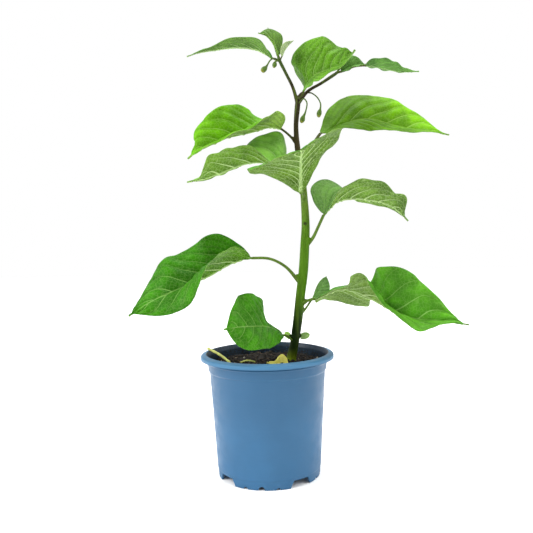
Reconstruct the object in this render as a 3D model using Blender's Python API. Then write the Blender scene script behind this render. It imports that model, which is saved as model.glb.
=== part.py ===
"""Young chilli pepper plant in a four-footed plastic pot, as separate closed solids.

Metres, +Z up. The front of the plant faces -Y, and +X is to the right as seen from the front.
Every measure below is taken from the pot's axis on the surface that it stands on. One empty then
carries all the pieces to where the origin is under the middle of the whole plant.
"""
import math

import bmesh
import bpy
import numpy as np
from mathutils import Vector, noise

# Fits and fineness
GAP = 0.0003
BLADE_THICKNESS = 0.0008
BLADE_ROWS = 15
HALF_COLUMNS = 3
SMALL_BLADE_ROWS = 9
SMALL_HALF_COLUMNS = 2
SMALL_LEAF_WIDTH = 0.007
STALK_ROWS = 5
TIP_HALF_WIDTH = 0.0005
DRIP_SHARE = 0.05

# Where the pot's axis stands, seen from the middle of the whole plant
POT_X = -0.0315
POT_Y = 0.0231

# Pot: radii and heights of the turned shell
POT_WALL = 0.0012
FOOT_RADIUS = 0.0459
FOOT_HEIGHT = 0.0070
TAPER_TOP_RADIUS = 0.0521
SHOULDER_HEIGHT = 0.0945
BAND_RADIUS = 0.0533
BAND_TOP_RADIUS = 0.0541
LIP_RADIUS = 0.0600
LIP_DROP = 0.0030
RIM_HEIGHT = 0.1100
RIM_INNER_RADIUS = 0.0545
FLOOR_THICKNESS = 0.0014
POT_SEGMENTS = 50

# Feet: four of them, the front one turned a little to the left, with notches that widen downwards
FOOT_COUNT = 4
FRONT_FOOT_ANGLE = math.radians(-8.7)
NOTCH_TOP_WIDTH = 0.0164
NOTCH_FOOT_WIDTH = 0.0216
NOTCH_HEIGHT = 0.0066
ARCH_WIDTHS = (0.0040, 0.0056, 0.0040)
ARCH_HEIGHTS = (0.0020, 0.0034, 0.0020)
ARCH_SPACING = math.radians(18.0)
DRAIN_HOLE_RADIUS = 0.0045
DRAIN_RING_RADIUS = 0.0300

# Soil: a tapered plug with a mounded, crumbly top
SOIL_HEIGHT = 0.0990
SOIL_MOUND = 0.0025
SOIL_BUMP = 0.0012
SOIL_RINGS = 9
SOIL_SECTORS = 30

# Stem: centre line with the radius there, from the buried end to the fork
STEM_PATH = (
    ((0.0205, 0.0020, 0.0550), 0.0040),
    ((0.0210, 0.0020, 0.0800), 0.0045),
    ((0.0215, 0.0020, 0.1010), 0.0046),
    ((0.0245, 0.0020, 0.1150), 0.0041),
    ((0.0280, 0.0020, 0.1360), 0.0043),
    ((0.0310, 0.0010, 0.1600), 0.0043),
    ((0.0340, 0.0000, 0.1820), 0.0043),
    ((0.0358, 0.0000, 0.2060), 0.0041),
    ((0.0368, 0.0000, 0.2240), 0.0037),
    ((0.0358, 0.0000, 0.2500), 0.0032),
    ((0.0335, 0.0010, 0.2750), 0.0029),
    ((0.0310, 0.0020, 0.2920), 0.0026),
    ((0.0300, 0.0030, 0.3120), 0.0022),
    ((0.0320, 0.0040, 0.3330), 0.0024),
    ((0.0322, 0.0040, 0.3370), 0.0018),
)
LEFT_BRANCH_PATH = (
    ((0.0318, 0.0040, 0.3320), 0.0018),
    ((0.0279, 0.0030, 0.3460), 0.0015),
    ((0.0210, 0.0010, 0.3600), 0.0014),
    ((0.0163, 0.0000, 0.3695), 0.0015),
    ((0.0150, 0.0000, 0.3735), 0.0011),
)
RIGHT_BRANCH_PATH = (
    ((0.0322, 0.0040, 0.3320), 0.0018),
    ((0.0410, 0.0060, 0.3430), 0.0015),
    ((0.0540, 0.0090, 0.3510), 0.0014),
    ((0.0660, 0.0120, 0.3590), 0.0015),
    ((0.0700, 0.0125, 0.3615), 0.0010),
)


class Leaf:
    """One leaf: its stalk and midrib in space, and how its two halves open along the midrib.

    left and right are the angles in degrees between each half and the level, at even stations from
    the blade's base to its tip. Left is the left hand when looking from the stalk to the tip. width
    is that of one half, and a share narrows or widens one of them, all along or by stations. A
    sweep draws a half's margin back towards the base, by stations too. belly says how far along the
    blade it is widest, point is how slender it gets towards the tip, and drip is the share of the
    blade that is the thread-like tip.
    """

    def __init__(self, name, stalk, midrib, width, left, right, belly=0.4, point=1.0,
                 left_share=1.0, right_share=1.0, left_sweep=(0.1, 0.0), right_sweep=(0.1, 0.0),
                 stalk_radius=0.0013, drip=0.06, wave=0.0012, waves=4.0, phase=0.0):
        self.name = name
        self.stalk = stalk
        self.midrib = midrib
        self.width = width
        self.left = left
        self.right = right
        self.belly = belly
        self.point = point
        self.left_share = left_share
        self.right_share = right_share
        self.left_sweep = left_sweep
        self.right_sweep = right_sweep
        self.stalk_radius = stalk_radius
        self.drip = drip
        self.wave = wave
        self.waves = waves
        self.phase = phase


LEAVES = (
    Leaf("leaf_lower_left",
         stalk=((0.0300, 0.0000, 0.1730), (0.0180, -0.0040, 0.1870), (0.0040, -0.0080, 0.1945)),
         midrib=((-0.0134, -0.0100, 0.1956), (-0.0226, -0.0120, 0.1941), (-0.0346, -0.0150, 0.1895),
                 (-0.0466, -0.0200, 0.1827), (-0.0588, -0.0250, 0.1773), (-0.0701, -0.0300, 0.1726),
                 (-0.0826, -0.0340, 0.1676), (-0.0968, -0.0380, 0.1615),
                 (-0.1151, -0.0430, 0.1504)),
         width=0.037, belly=0.45, point=0.95, drip=0.03, left_sweep=(0.1, 0.29),
         right_sweep=(0.21, 0),
         left_share=(0.90, 0.94, 0.93, 1.03, 1.00, 1.11, 1.16),
         right_share=(0.65, 0.98, 0.84, 0.87, 1.03, 1.08, 1.22),
         left=(34, 39, 29, 27, 19, -13, -31, -49, -41),
         right=(64, 76, 78, 61, 53, 54, 35, 20, 33)),
    Leaf("leaf_lower_right",
         stalk=((0.0300, 0.0000, 0.1530), (0.0400, -0.0040, 0.1570)),
         midrib=((0.0438, -0.0060, 0.1577), (0.0554, -0.0080, 0.1633), (0.0676, -0.0120, 0.1670),
                 (0.0836, -0.0160, 0.1627), (0.0987, -0.0200, 0.1543), (0.1112, -0.0260, 0.1467),
                 (0.1286, -0.0320, 0.1410), (0.1475, -0.0360, 0.1403), (0.1698, -0.0420, 0.1369)),
         width=0.038, belly=0.46, point=0.85, drip=0.03,
         left_sweep=(0.62, 0.53, 0.50, 0.29, 0.02, -0.10, -0.02, 1.16, 1.15, 0.74, 0.44, 0.21, 0.05,
                     0.01, 0.16, 0.22, 0.31),
         right_sweep=(-0.03, 0.03, -0.08, -0.08, 0.07, 0.37, 0.49, 0.40, 0.09, 0.03, 0.06, 0.12,
                      0.23, 0.19, 0.12, 0.18, 0.21),
         left_share=(0.83, 0.70, 0.78, 0.82, 0.85, 0.87, 0.89, 0.39, 0.60, 0.88, 1.10, 1.16, 1.10,
                     0.91, 0.72, 0.66, 0.78),
         right_share=(0.91, 0.93, 0.87, 0.84, 0.82, 0.85, 0.80, 0.76, 0.83, 0.87, 0.87, 0.87, 0.92,
                      0.92, 0.90, 0.91, 0.91),
         left=(-42, -21, -26, -33, -35, -29, -14, 33, 85, 84, 88, 88, 86, 87, 78, 56, 22),
         right=(-1, -3, 1, 6, 15, 25, 36, 29, 12, 5, 2, -4, -14, -12, -2, 6, -8)),
    Leaf("leaf_low_front",
         stalk=((0.0225, 0.0000, 0.1210), (0.0185, -0.0040, 0.1245)),
         midrib=((0.0145, -0.0080, 0.1262), (0.0079, -0.0130, 0.1321), (-0.0004, -0.0220, 0.1361),
                 (-0.0081, -0.0340, 0.1381), (-0.0156, -0.0460, 0.1396), (-0.0236, -0.0570, 0.1409),
                 (-0.0338, -0.0710, 0.1414)),
         width=0.03, belly=0.5, point=0.7, stalk_radius=0.0011, drip=0.04, left_sweep=(0.12, -0.13),
         right_sweep=(0.51, 0.05),
         left_share=(0.78, 0.74, 0.70, 0.73, 0.81, 0.96, 1.12),
         right_share=(0.99, 0.89, 0.83, 0.90, 1.04, 1.09, 1.04),
         left=(-47, -48, -47, -51, -51, -64, -61),
         right=(40, 22, 69, 77, 70, 81, 93)),
    Leaf("leaf_upper_right",
         stalk=((0.0320, 0.0020, 0.2830), (0.0380, 0.0060, 0.2880)),
         midrib=((0.0531, 0.0120, 0.3074), (0.0561, 0.0160, 0.3087), (0.0635, 0.0200, 0.3120),
                 (0.0754, 0.0240, 0.3167), (0.0894, 0.0270, 0.3207), (0.1040, 0.0300, 0.3211),
                 (0.1209, 0.0320, 0.3162), (0.1385, 0.0340, 0.3125), (0.1564, 0.0350, 0.3104),
                 (0.1760, 0.0360, 0.3063)),
         width=0.033, belly=0.48, point=0.8, drip=0.03, left_sweep=(0.11, 0.08),
         right_sweep=(0.48, 0.03),
         left_share=(0.30, 0.81, 0.96, 0.94, 0.98, 1.08, 1.05),
         right_share=(0.74, 0.68, 0.66, 0.66, 0.80, 0.95, 1.10),
         left=(26, 54, 53, 58, 63, 46, 22),
         right=(-32, -12, -33, -36, -20, -18, -7)),
    Leaf("leaf_top_left",
         stalk=((0.0165, 0.0008, 0.3690), (0.0140, 0.0022, 0.3705)),
         midrib=((0.0098, 0.0028, 0.3725), (0.0054, 0.0030, 0.3758), (-0.0030, 0.0050, 0.3804),
                 (-0.0132, 0.0060, 0.3827), (-0.0276, 0.0070, 0.3832), (-0.0421, 0.0070, 0.3814),
                 (-0.0548, 0.0060, 0.3794), (-0.0661, 0.0050, 0.3757)),
         width=0.0135, belly=0.45, point=0.9, stalk_radius=0.0009, drip=0.05, wave=0.0008,
         left_sweep=(0, 0.18),
         left_share=(1.03, 0.96, 0.69, 0.64, 0.46, 0.30, 0.33),
         right_share=0.9,
         left=(-12, 43, 61, 62, 53, 41, 40),
         right=(35, 42, 45, 42, 38, 34, 30)),
    Leaf("leaf_upper_left",
         stalk=((0.0305, 0.0030, 0.2970), (0.0225, 0.0065, 0.3060)),
         midrib=((0.0167, 0.0100, 0.3112), (0.0066, 0.0100, 0.3131), (-0.0054, 0.0085, 0.3098),
                 (-0.0178, 0.0060, 0.3065), (-0.0310, 0.0030, 0.3033), (-0.0421, 0.0010, 0.2984),
                 (-0.0509, 0.0000, 0.2945), (-0.0575, 0.0000, 0.2916), (-0.0622, 0.0020, 0.2893),
                 (-0.0675, 0.0040, 0.2852)),
         width=0.037, belly=0.45, point=0.6, stalk_radius=0.001, left_sweep=(0.42, 0.11),
         right_sweep=(0.16, -0.08),
         left_share=(0.71, 0.79, 0.75, 0.66, 0.62, 0.70, 0.84),
         right_share=(0.60, 0.76, 0.85, 0.82, 0.79, 0.89, 0.91),
         left=(51, 18, 7, -2, -6, -9, -17),
         right=(4, 33, 60, 74, 73, 57, 23)),
    Leaf("leaf_middle_left",
         stalk=((0.0330, 0.0010, 0.2670), (0.0280, -0.0025, 0.2690)),
         midrib=((0.0235, -0.0040, 0.2716), (0.0166, -0.0060, 0.2748), (0.0082, -0.0090, 0.2775),
                 (-0.0020, -0.0130, 0.2792), (-0.0126, -0.0170, 0.2783), (-0.0242, -0.0210, 0.2746),
                 (-0.0357, -0.0260, 0.2694), (-0.0455, -0.0300, 0.2656), (-0.0538, -0.0320, 0.2634),
                 (-0.0644, -0.0340, 0.2612)),
         width=0.031, belly=0.42, point=0.6, left_sweep=(-0.56, -0.13), right_sweep=(-0.1, 0.67),
         left_share=(0.79, 0.69, 0.69, 0.83, 0.95, 1.06, 1.09),
         right_share=(1.36, 1.24, 0.99, 0.84, 0.78, 0.81, 0.83),
         left=(-23, -13, 3, 34, 36, 38, 47, 10, 11),
         right=(25, 72, 54, 32, -2, -6, -4, -8, -14)),
    Leaf("leaf_middle_right",
         stalk=((0.0380, 0.0000, 0.2060), (0.0430, -0.0050, 0.2125), (0.0470, -0.0090, 0.2210)),
         midrib=((0.0524, -0.0120, 0.2328), (0.0578, -0.0140, 0.2390), (0.0646, -0.0170, 0.2440),
                 (0.0754, -0.0210, 0.2455), (0.0896, -0.0250, 0.2441), (0.1027, -0.0280, 0.2407),
                 (0.1130, -0.0310, 0.2345), (0.1213, -0.0340, 0.2249)),
         width=0.031, belly=0.38, point=0.6, left_sweep=(0.34, 0.6), right_sweep=(-0.85, -0.06),
         left_share=(0.33, 0.91, 0.58, 0.63, 0.63, 0.59, 0.60),
         right_share=(0.64, 0.74, 0.75, 0.81, 0.96, 1.30, 1.45),
         left=(58, 76, 26, -8, -14, -24, -27),
         right=(-17, 11, 36, 39, 27, 33, -1)),
    Leaf("leaf_top_dome",
         stalk=((0.0325, 0.0030, 0.3360), (0.0365, 0.0015, 0.3405)),
         midrib=((0.0372, 0.0000, 0.3431), (0.0409, -0.0030, 0.3477), (0.0471, -0.0080, 0.3542),
                 (0.0568, -0.0130, 0.3568), (0.0659, -0.0170, 0.3601), (0.0726, -0.0190, 0.3634),
                 (0.0779, -0.0200, 0.3683), (0.0804, -0.0200, 0.3718)),
         width=0.038, belly=0.36, point=0.55, stalk_radius=0.0011, left_sweep=(0.18, -0.34),
         right_sweep=(-0.23, 0.07),
         left_share=(1.11, 0.93, 0.87, 0.88, 0.75, 0.76, 1.04),
         right_share=(0.75, 0.68, 0.64, 0.60, 0.71, 0.85, 1.01),
         left=(26, 71, 76, 77, 61, 61, 94),
         right=(-27, -31, -33, -28, -26, -27, -21)),
    Leaf("leaf_front_centre",
         stalk=((0.0355, -0.0010, 0.2440), (0.0350, -0.0060, 0.2490), (0.0340, -0.0130, 0.2520)),
         midrib=((0.0321, -0.0180, 0.2513), (0.0311, -0.0280, 0.2573), (0.0306, -0.0430, 0.2643),
                 (0.0300, -0.0620, 0.2704), (0.0293, -0.0820, 0.2746), (0.0282, -0.1060, 0.2772)),
         width=0.042, belly=0.5, point=0.9, left_sweep=(0.14, -0.27), right_sweep=(0.21, -0.05),
         left_share=(0.39, 0.56, 0.72, 0.91, 1.11, 1.26, 1.40),
         right_share=(0.42, 0.58, 0.82, 0.97, 1.10, 1.16, 1.24),
         left=(21, 44, 41, 37, 36, 35, 52),
         right=(4, 12, 4, -3, -8, -11, 14)),
    Leaf("leaf_far_right",
         stalk=((0.0690, 0.0122, 0.3610), (0.0755, 0.0142, 0.3628), (0.0850, 0.0165, 0.3668)),
         midrib=((0.0951, 0.0180, 0.3680), (0.1021, 0.0190, 0.3676), (0.1105, 0.0200, 0.3659),
                 (0.1189, 0.0210, 0.3642), (0.1272, 0.0210, 0.3627), (0.1352, 0.0200, 0.3620),
                 (0.1442, 0.0190, 0.3618)),
         width=0.0135, belly=0.4, point=0.9, stalk_radius=0.0008, wave=0.0008,
         left=(4, 8, 10, 9, 5),
         right=(30, 24, 20, 10, 0)),
    Leaf("leaf_right_shoot",
         stalk=((0.0690, 0.0110, 0.3610),),
         midrib=((0.0722, 0.0100, 0.3612), (0.0762, 0.0090, 0.3634), (0.0825, 0.0090, 0.3655),
                 (0.0881, 0.0095, 0.3666), (0.0941, 0.0100, 0.3671)),
         width=0.011, belly=0.45, point=0.9, stalk_radius=0.0008, wave=0.0008, waves=3.0,
         left=(60, 75, 80, 75, 60),
         right=(-25, -20, -16, -16, -16)),
    Leaf("young_leaf_left",
         stalk=((0.0160, 0.0000, 0.3718),),
         midrib=((0.0157, -0.0003, 0.3735), (0.0147, -0.0010, 0.3766), (0.0108, -0.0020, 0.3842),
                 (0.0048, -0.0030, 0.3905), (-0.0021, -0.0040, 0.3924)),
         width=0.0115, belly=0.5, point=0.8, stalk_radius=0.0008, wave=0.0006, waves=3.0,
         left_sweep=(0, 0), right_sweep=(-0.15, 0),
         left=(-14, -14, -14, -14, -14),
         right=(45, 62, 78, 65, 30)),
    Leaf("young_leaf_right",
         stalk=((0.0172, -0.0012, 0.3703),),
         midrib=((0.0184, -0.0024, 0.3724), (0.0204, -0.0034, 0.3766), (0.0240, -0.0042, 0.3811),
                 (0.0287, -0.0048, 0.3853)),
         width=0.0045, belly=0.5, point=0.8, stalk_radius=0.0006, wave=0.0003, waves=2.0,
         left=(30, 25, 20, 20, 20),
         right=(40, 50, 50, 40, 30)),
    Leaf("young_leaf_spike",
         stalk=((0.0152, 0.0018, 0.3722),),
         midrib=((0.0147, 0.0050, 0.3752), (0.0120, 0.0085, 0.3850), (0.0090, 0.0090, 0.3936),
                 (0.0066, 0.0090, 0.4009)),
         width=0.0018, belly=0.4, point=0.9, stalk_radius=0.0006, wave=0.0, waves=1.0,
         left=(30, 30, 30, 30, 30),
         right=(30, 30, 30, 30, 30)),
    Leaf("axil_leaf_right",
         stalk=((0.0315, 0.0022, 0.1440), (0.0346, 0.0040, 0.1466)),
         midrib=((0.0422, 0.0046, 0.1573), (0.0455, 0.0052, 0.1610), (0.0487, 0.0056, 0.1654),
                 (0.0520, 0.0058, 0.1708), (0.0552, 0.0060, 0.1768)),
         width=0.0085, belly=0.6, point=0.7, stalk_radius=0.0009, drip=0.02, wave=0.0, waves=1.0,
         left_sweep=(0.1, 0.1), right_sweep=(0.3, 0.3),
         left_share=0.42,
         left=(82, 84, 86, 84, 80),
         right=(-84, -84, -80, -84, -86)),
    Leaf("base_sprout_right",
         stalk=((0.0260, 0.0020, 0.1205),),
         midrib=((0.0298, 0.0025, 0.1226), (0.0328, 0.0030, 0.1231), (0.0360, 0.0040, 0.1236),
                 (0.0391, 0.0050, 0.1240)),
         width=0.0031, belly=0.5, point=0.4, stalk_radius=0.0007, drip=0.02, wave=0.0, waves=1.0,
         left=(72, 72, 72, 72, 72),
         right=(-70, -70, -70, -70, -70)),
    Leaf("base_sprout_left",
         stalk=((0.0245, 0.0035, 0.1190),),
         midrib=((0.0215, 0.0058, 0.1208), (0.0192, 0.0070, 0.1232), (0.0168, 0.0085, 0.1262)),
         width=0.0029, belly=0.5, point=0.4, stalk_radius=0.0006, drip=0.02, wave=0.0, waves=1.0,
         left_share=0.8,
         left=(-60, -60, -60, -60, -60),
         right=(68, 68, 68, 68, 68)),
    Leaf("fallen_leaf",
         stalk=((-0.0004, -0.0158, 0.1032),),
         midrib=((0.0010, -0.0160, 0.1029), (0.0050, -0.0162, 0.1027), (0.0100, -0.0166, 0.1026),
                 (0.0145, -0.0169, 0.1026), (0.0183, -0.0170, 0.1029)),
         width=0.0078, belly=0.6, point=0.32, stalk_radius=0.0006, drip=0.02, wave=0.0003,
         waves=2.0, left_sweep=(0, 0),
         left_share=(0.50, 0.30, 0.30, 0.75, 1.00, 1.02, 1.00),
         right_share=0.3,
         left=(70, 72, 74, 76, 76, 74, 72),
         right=(-12, -12, -12, -12, -12)),
)

# Flower buds on bent stalks, and dry leaf stalks on the soil: centre line with the radius there
TUBES = {
    "flower_bud_left_outer": (
        ((0.0160, -0.0006, 0.3690), 0.0007), ((0.0120, -0.0028, 0.3706), 0.0006),
        ((0.0085, -0.0036, 0.3692), 0.0006), ((0.0048, -0.0040, 0.3637), 0.0010),
        ((0.0037, -0.0043, 0.3622), 0.0020), ((0.0021, -0.0050, 0.3603), 0.0023),
        ((0.0010, -0.0054, 0.3590), 0.0016), ((0.0006, -0.0056, 0.3585), 0.0006)),
    "flower_bud_left_inner": (
        ((0.0172, -0.0010, 0.3672), 0.0007), ((0.0147, -0.0034, 0.3685), 0.0006),
        ((0.0128, -0.0042, 0.3674), 0.0009), ((0.0121, -0.0044, 0.3658), 0.0017),
        ((0.0116, -0.0045, 0.3640), 0.0019), ((0.0113, -0.0047, 0.3626), 0.0012),
        ((0.0112, -0.0048, 0.3620), 0.0005)),
    "flower_bud_fork_left": (
        ((0.0330, 0.0022, 0.3322), 0.0007), ((0.0370, -0.0028, 0.3350), 0.0006),
        ((0.0396, -0.0045, 0.3310), 0.0006), ((0.0382, -0.0050, 0.3232), 0.0007),
        ((0.0367, -0.0052, 0.3198), 0.0012), ((0.0357, -0.0052, 0.3178), 0.0020),
        ((0.0351, -0.0052, 0.3158), 0.0021), ((0.0346, -0.0052, 0.3140), 0.0012),
        ((0.0345, -0.0052, 0.3134), 0.0005)),
    "flower_bud_fork_right": (
        ((0.0420, 0.0060, 0.3420), 0.0007), ((0.0445, 0.0025, 0.3408), 0.0006),
        ((0.0492, -0.0010, 0.3361), 0.0006), ((0.0518, -0.0030, 0.3300), 0.0006),
        ((0.0513, -0.0040, 0.3251), 0.0010), ((0.0509, -0.0040, 0.3236), 0.0018),
        ((0.0503, -0.0040, 0.3212), 0.0021), ((0.0499, -0.0040, 0.3190), 0.0013),
        ((0.0498, -0.0040, 0.3182), 0.0005)),
    "flower_bud_right_shoot": (
        ((0.0665, 0.0115, 0.3600), 0.0007), ((0.0682, 0.0085, 0.3610), 0.0006),
        ((0.0696, 0.0065, 0.3625), 0.0011), ((0.0706, 0.0055, 0.3638), 0.0015),
        ((0.0714, 0.0048, 0.3650), 0.0010), ((0.0717, 0.0046, 0.3655), 0.0005)),
    "dry_stalk_on_rim": (
        ((-0.0550, 0.0134, 0.1119), 0.0010), ((-0.0430, 0.0040, 0.1072), 0.0010),
        ((-0.0330, -0.0060, 0.1016), 0.0008)),
    "dry_stalk_on_soil": (
        ((-0.0244, -0.0090, 0.1024), 0.0006), ((-0.0190, -0.0095, 0.1042), 0.0006),
        ((-0.0145, -0.0090, 0.1038), 0.0006), ((-0.0108, -0.0080, 0.1024), 0.0005)),
}
TUBE_STEPS = 12
TUBE_SIDES = 8
STEM_STEPS = 26
STEM_SIDES = 12
BRANCH_STEPS = 8

# Colours (linear), roughness: pot plastic, peat, and the greens from old to young growth
POT_BLUE = (0.070, 0.185, 0.380)
PEAT = (0.020, 0.014, 0.010)
STEM_GREEN = (0.080, 0.160, 0.025)
LEAF_GREEN = (0.060, 0.240, 0.020)
UNDERSIDE_GREEN = (0.220, 0.380, 0.110)
YOUNG_GREEN = (0.160, 0.400, 0.040)
BUD_GREEN = (0.230, 0.350, 0.080)
WITHERED = (0.480, 0.460, 0.080)


def smooth_curve(points, count):
    """count points, evenly spaced, on a smooth curve through the given ones, and its length."""
    knots = np.asarray(points, float)
    chords = np.linalg.norm(np.diff(knots[:, :3], axis=0), axis=1)
    knot_at = np.concatenate([[0.0], np.cumsum(np.sqrt(chords))])
    slopes = np.gradient(knots, knot_at, axis=0)
    s = np.linspace(0.0, 1.0, 40, endpoint=False)[:, None]
    spans = []
    for i in range(len(knots) - 1):
        step = knot_at[i + 1] - knot_at[i]
        spans.append((2 * s**3 - 3 * s**2 + 1) * knots[i] + (s**3 - 2 * s**2 + s) * step * slopes[i]
                     + (3 * s**2 - 2 * s**3) * knots[i + 1] + (s**3 - s**2) * step * slopes[i + 1])
    fine = np.vstack(spans + [knots[-1:]])
    runs = np.linalg.norm(np.diff(fine[:, :3], axis=0), axis=1)
    along = np.concatenate([[0.0], np.cumsum(runs)])
    at = np.linspace(0.0, along[-1], count) if np.ndim(count) == 0 else np.asarray(count) * along[-1]
    columns = [np.interp(at, along, fine[:, k]) for k in range(fine.shape[1])]
    return np.stack(columns, axis=1), along[-1]


def at_stations(values, t):
    """The values of evenly spaced stations, read smoothly at t from 0 to 1."""
    values = np.asarray(values, float)
    place = np.clip(t, 0.0, 1.0) * (len(values) - 1)
    low = np.minimum(place.astype(int), len(values) - 2)
    f = place - low
    slope = np.gradient(values)
    return ((2 * f**3 - 3 * f**2 + 1) * values[low] + (f**3 - 2 * f**2 + f) * slope[low]
            + (3 * f**2 - 2 * f**3) * values[low + 1] + (f**3 - f**2) * slope[low + 1])


def share_at(share, t):
    """A half's share of the width: one number, or one for each of some even stations."""
    return at_stations(share, t) if np.ndim(share) else share


def half_width(t, leaf):
    """Width of one half at t along the blade: a rounded base, a belly and a drip tip."""
    base = leaf.point * leaf.belly / (1.0 - leaf.belly)
    widest = leaf.belly**base * (1.0 - leaf.belly)**leaf.point
    s = np.clip(t / (1.0 - leaf.drip), 1e-6, 1.0 - 1e-6)
    blade = leaf.width * s**base * (1.0 - s)**leaf.point / widest
    return blade + DRIP_SHARE * leaf.width * np.sqrt(1.0 - t)


def leaf_frames(line, heading):
    """Unit vectors along a leaf's line, to its left and up out of its upper side."""
    along = np.gradient(line, axis=0)
    along /= np.linalg.norm(along, axis=1)[:, None]
    level_left = np.cross((0.0, 0.0, 1.0), (heading[0], heading[1], 0.0))
    level_left /= np.linalg.norm(level_left)
    left = level_left - (along @ level_left)[:, None] * along
    left /= np.linalg.norm(left, axis=1)[:, None]
    return along, left, np.cross(along, left)


def blade_grid(leaf, rows, half_columns):
    """Middle surface of a blade: its points by row and column, left margin to right margin."""
    t = 0.5 - 0.5 * np.cos(np.linspace(0.0, math.pi, rows))
    t = 0.35 * t + 0.65 * np.linspace(0.0, 1.0, rows)
    line, length = smooth_curve(leaf.midrib, t)
    along, left, up = leaf_frames(line, line[-1] - line[0])
    rib = rib_radius(leaf, t)
    grid = np.zeros((rows, 2 * half_columns + 1, 3))
    grid[:, half_columns] = line
    halves = ((1, leaf.left, leaf.left_share, leaf.left_sweep),
              (-1, leaf.right, leaf.right_share, leaf.right_sweep))
    for sign, angles, narrowing, sweep in halves:
        angle = np.radians(at_stations(angles, t))
        outward = np.cos(angle)[:, None] * sign * left + np.sin(angle)[:, None] * up
        normal = np.cos(angle)[:, None] * up - np.sin(angle)[:, None] * sign * left
        width = np.maximum(half_width(t, leaf) * share_at(narrowing, t), TIP_HALF_WIDTH)
        inner = np.minimum(rib, 0.4 * width)
        ripple = leaf.wave * np.sin(2 * math.pi * leaf.waves * t + leaf.phase) * width / leaf.width
        for i in range(half_columns):
            reach = inner + (width - inner) * i / (half_columns - 1)
            share = reach / width
            back = at_stations(sweep, t) * width * share**2
            column = half_columns - sign * (i + 1)
            grid[:, column] = (line + reach[:, None] * outward + (ripple * share**2)[:, None] * normal
                               - back[:, None] * along)
    return t, grid, rib


def rib_radius(leaf, t):
    """Half thickness of the midrib, from the stalk's own to a thread at the tip."""
    return leaf.stalk_radius * (1.0 - 0.75 * t)


def grid_normals(grid):
    """Unit normals of a blade's middle surface, on its upper side."""
    across = np.gradient(grid, axis=1)
    along = np.gradient(grid, axis=0)
    normals = np.cross(across, along)
    return normals / np.linalg.norm(normals, axis=2)[:, :, None]


def leaf_mesh(leaf):
    """Closed mesh of a leaf: one loft of rings from the stalk's foot to the blade's tip."""
    small = leaf.width < SMALL_LEAF_WIDTH
    rows = SMALL_BLADE_ROWS if small else max(BLADE_ROWS, 2 * len(leaf.left))
    half_columns = SMALL_HALF_COLUMNS if small else HALF_COLUMNS
    t, grid, rib = blade_grid(leaf, rows, half_columns)
    normals = grid_normals(grid)
    count = 2 * half_columns + 1
    ridge = np.zeros(count)
    ridge[half_columns] = 1.0
    half = BLADE_THICKNESS / 2
    upper = grid + half * normals
    lower = grid - (half + ridge[None, :] * 1.6 * rib[:, None])[:, :, None] * normals
    stalk = stalk_rings(leaf, upper[0], count)
    blade = [np.vstack([upper[k], lower[k][::-1]]) for k in range(rows)]
    return loft(stalk + blade, count, len(stalk))


def stalk_rings(leaf, upper, count):
    """Rings of the stalk, round at its foot and drawn out to the blade's first row."""
    points = list(leaf.stalk) + [leaf.midrib[0]]
    steps = STALK_ROWS if len(leaf.stalk) > 1 else 2
    line, length = smooth_curve(points, steps + 1)
    along = np.gradient(line, axis=0)
    along /= np.linalg.norm(along, axis=1)[:, None]
    lean = np.arcsin(BLADE_THICKNESS / 2 / leaf.stalk_radius)
    turn = np.linspace(lean, math.pi - lean, count)
    turn = np.concatenate([turn, turn + math.pi])
    left = upper[0] - upper[-1]
    rings = []
    for k in range(steps):
        side = left - (left @ along[k]) * along[k]
        side /= np.linalg.norm(side)
        up = np.cross(along[k], side)
        swell = 1.0 + 0.35 * (1.0 - k / steps)**3
        radius = leaf.stalk_radius * swell
        rings.append(line[k] + radius * (np.cos(turn)[:, None] * side + np.sin(turn)[:, None] * up))
    return rings


def loft(rings, count, stalk_count):
    """Closed mesh through rings of 2 x count points, and which faces are the blade's upper side.

    The blade's two sides are split into triangles alike.
    """
    around = 2 * count
    points = [tuple(p) for ring in rings for p in ring]
    faces = []
    upper = []
    for k in range(len(rings) - 1):
        for i in range(around):
            a = k * around + i
            b = k * around + (i + 1) % around
            c = b + around
            d = a + around
            if i < count - 1:
                upper += [len(faces), len(faces) + 1] if k >= stalk_count else []
                faces += [(a, b, c), (a, c, d)]
            else:
                faces += [(a, b, d), (b, c, d)]
    for ring, first in ((0, 0), (len(rings) - 1, (len(rings) - 1) * around)):
        middle = len(points)
        points.append(tuple(np.mean(rings[ring], axis=0)))
        for i in range(around):
            edge = (first + i, first + (i + 1) % around)
            faces.append((middle, edge[1], edge[0]) if ring == 0 else (middle, edge[0], edge[1]))
    return points, faces, upper


def tube_rings(path, steps, sides, extra=0.0):
    """Rings of a tube along a path of (point, radius), grown all round by extra."""
    knots = [(*point, radius) for point, radius in path]
    line, length = smooth_curve(knots, steps)
    centre = line[:, :3]
    radius = line[:, 3] + extra
    along = np.gradient(centre, axis=0)
    along /= np.linalg.norm(along, axis=1)[:, None]
    side = np.cross(along[0], (0.31, 0.95, 0.05))
    centre[0] -= extra * along[0]
    centre[-1] += extra * along[-1]
    turn = np.linspace(0.0, 2 * math.pi, sides, endpoint=False)
    rings = []
    for k in range(steps):
        side = side - (side @ along[k]) * along[k]
        side /= np.linalg.norm(side)
        up = np.cross(along[k], side)
        rings.append(centre[k] + radius[k] * (np.cos(turn)[:, None] * side
                                              + np.sin(turn)[:, None] * up))
    return rings


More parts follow.
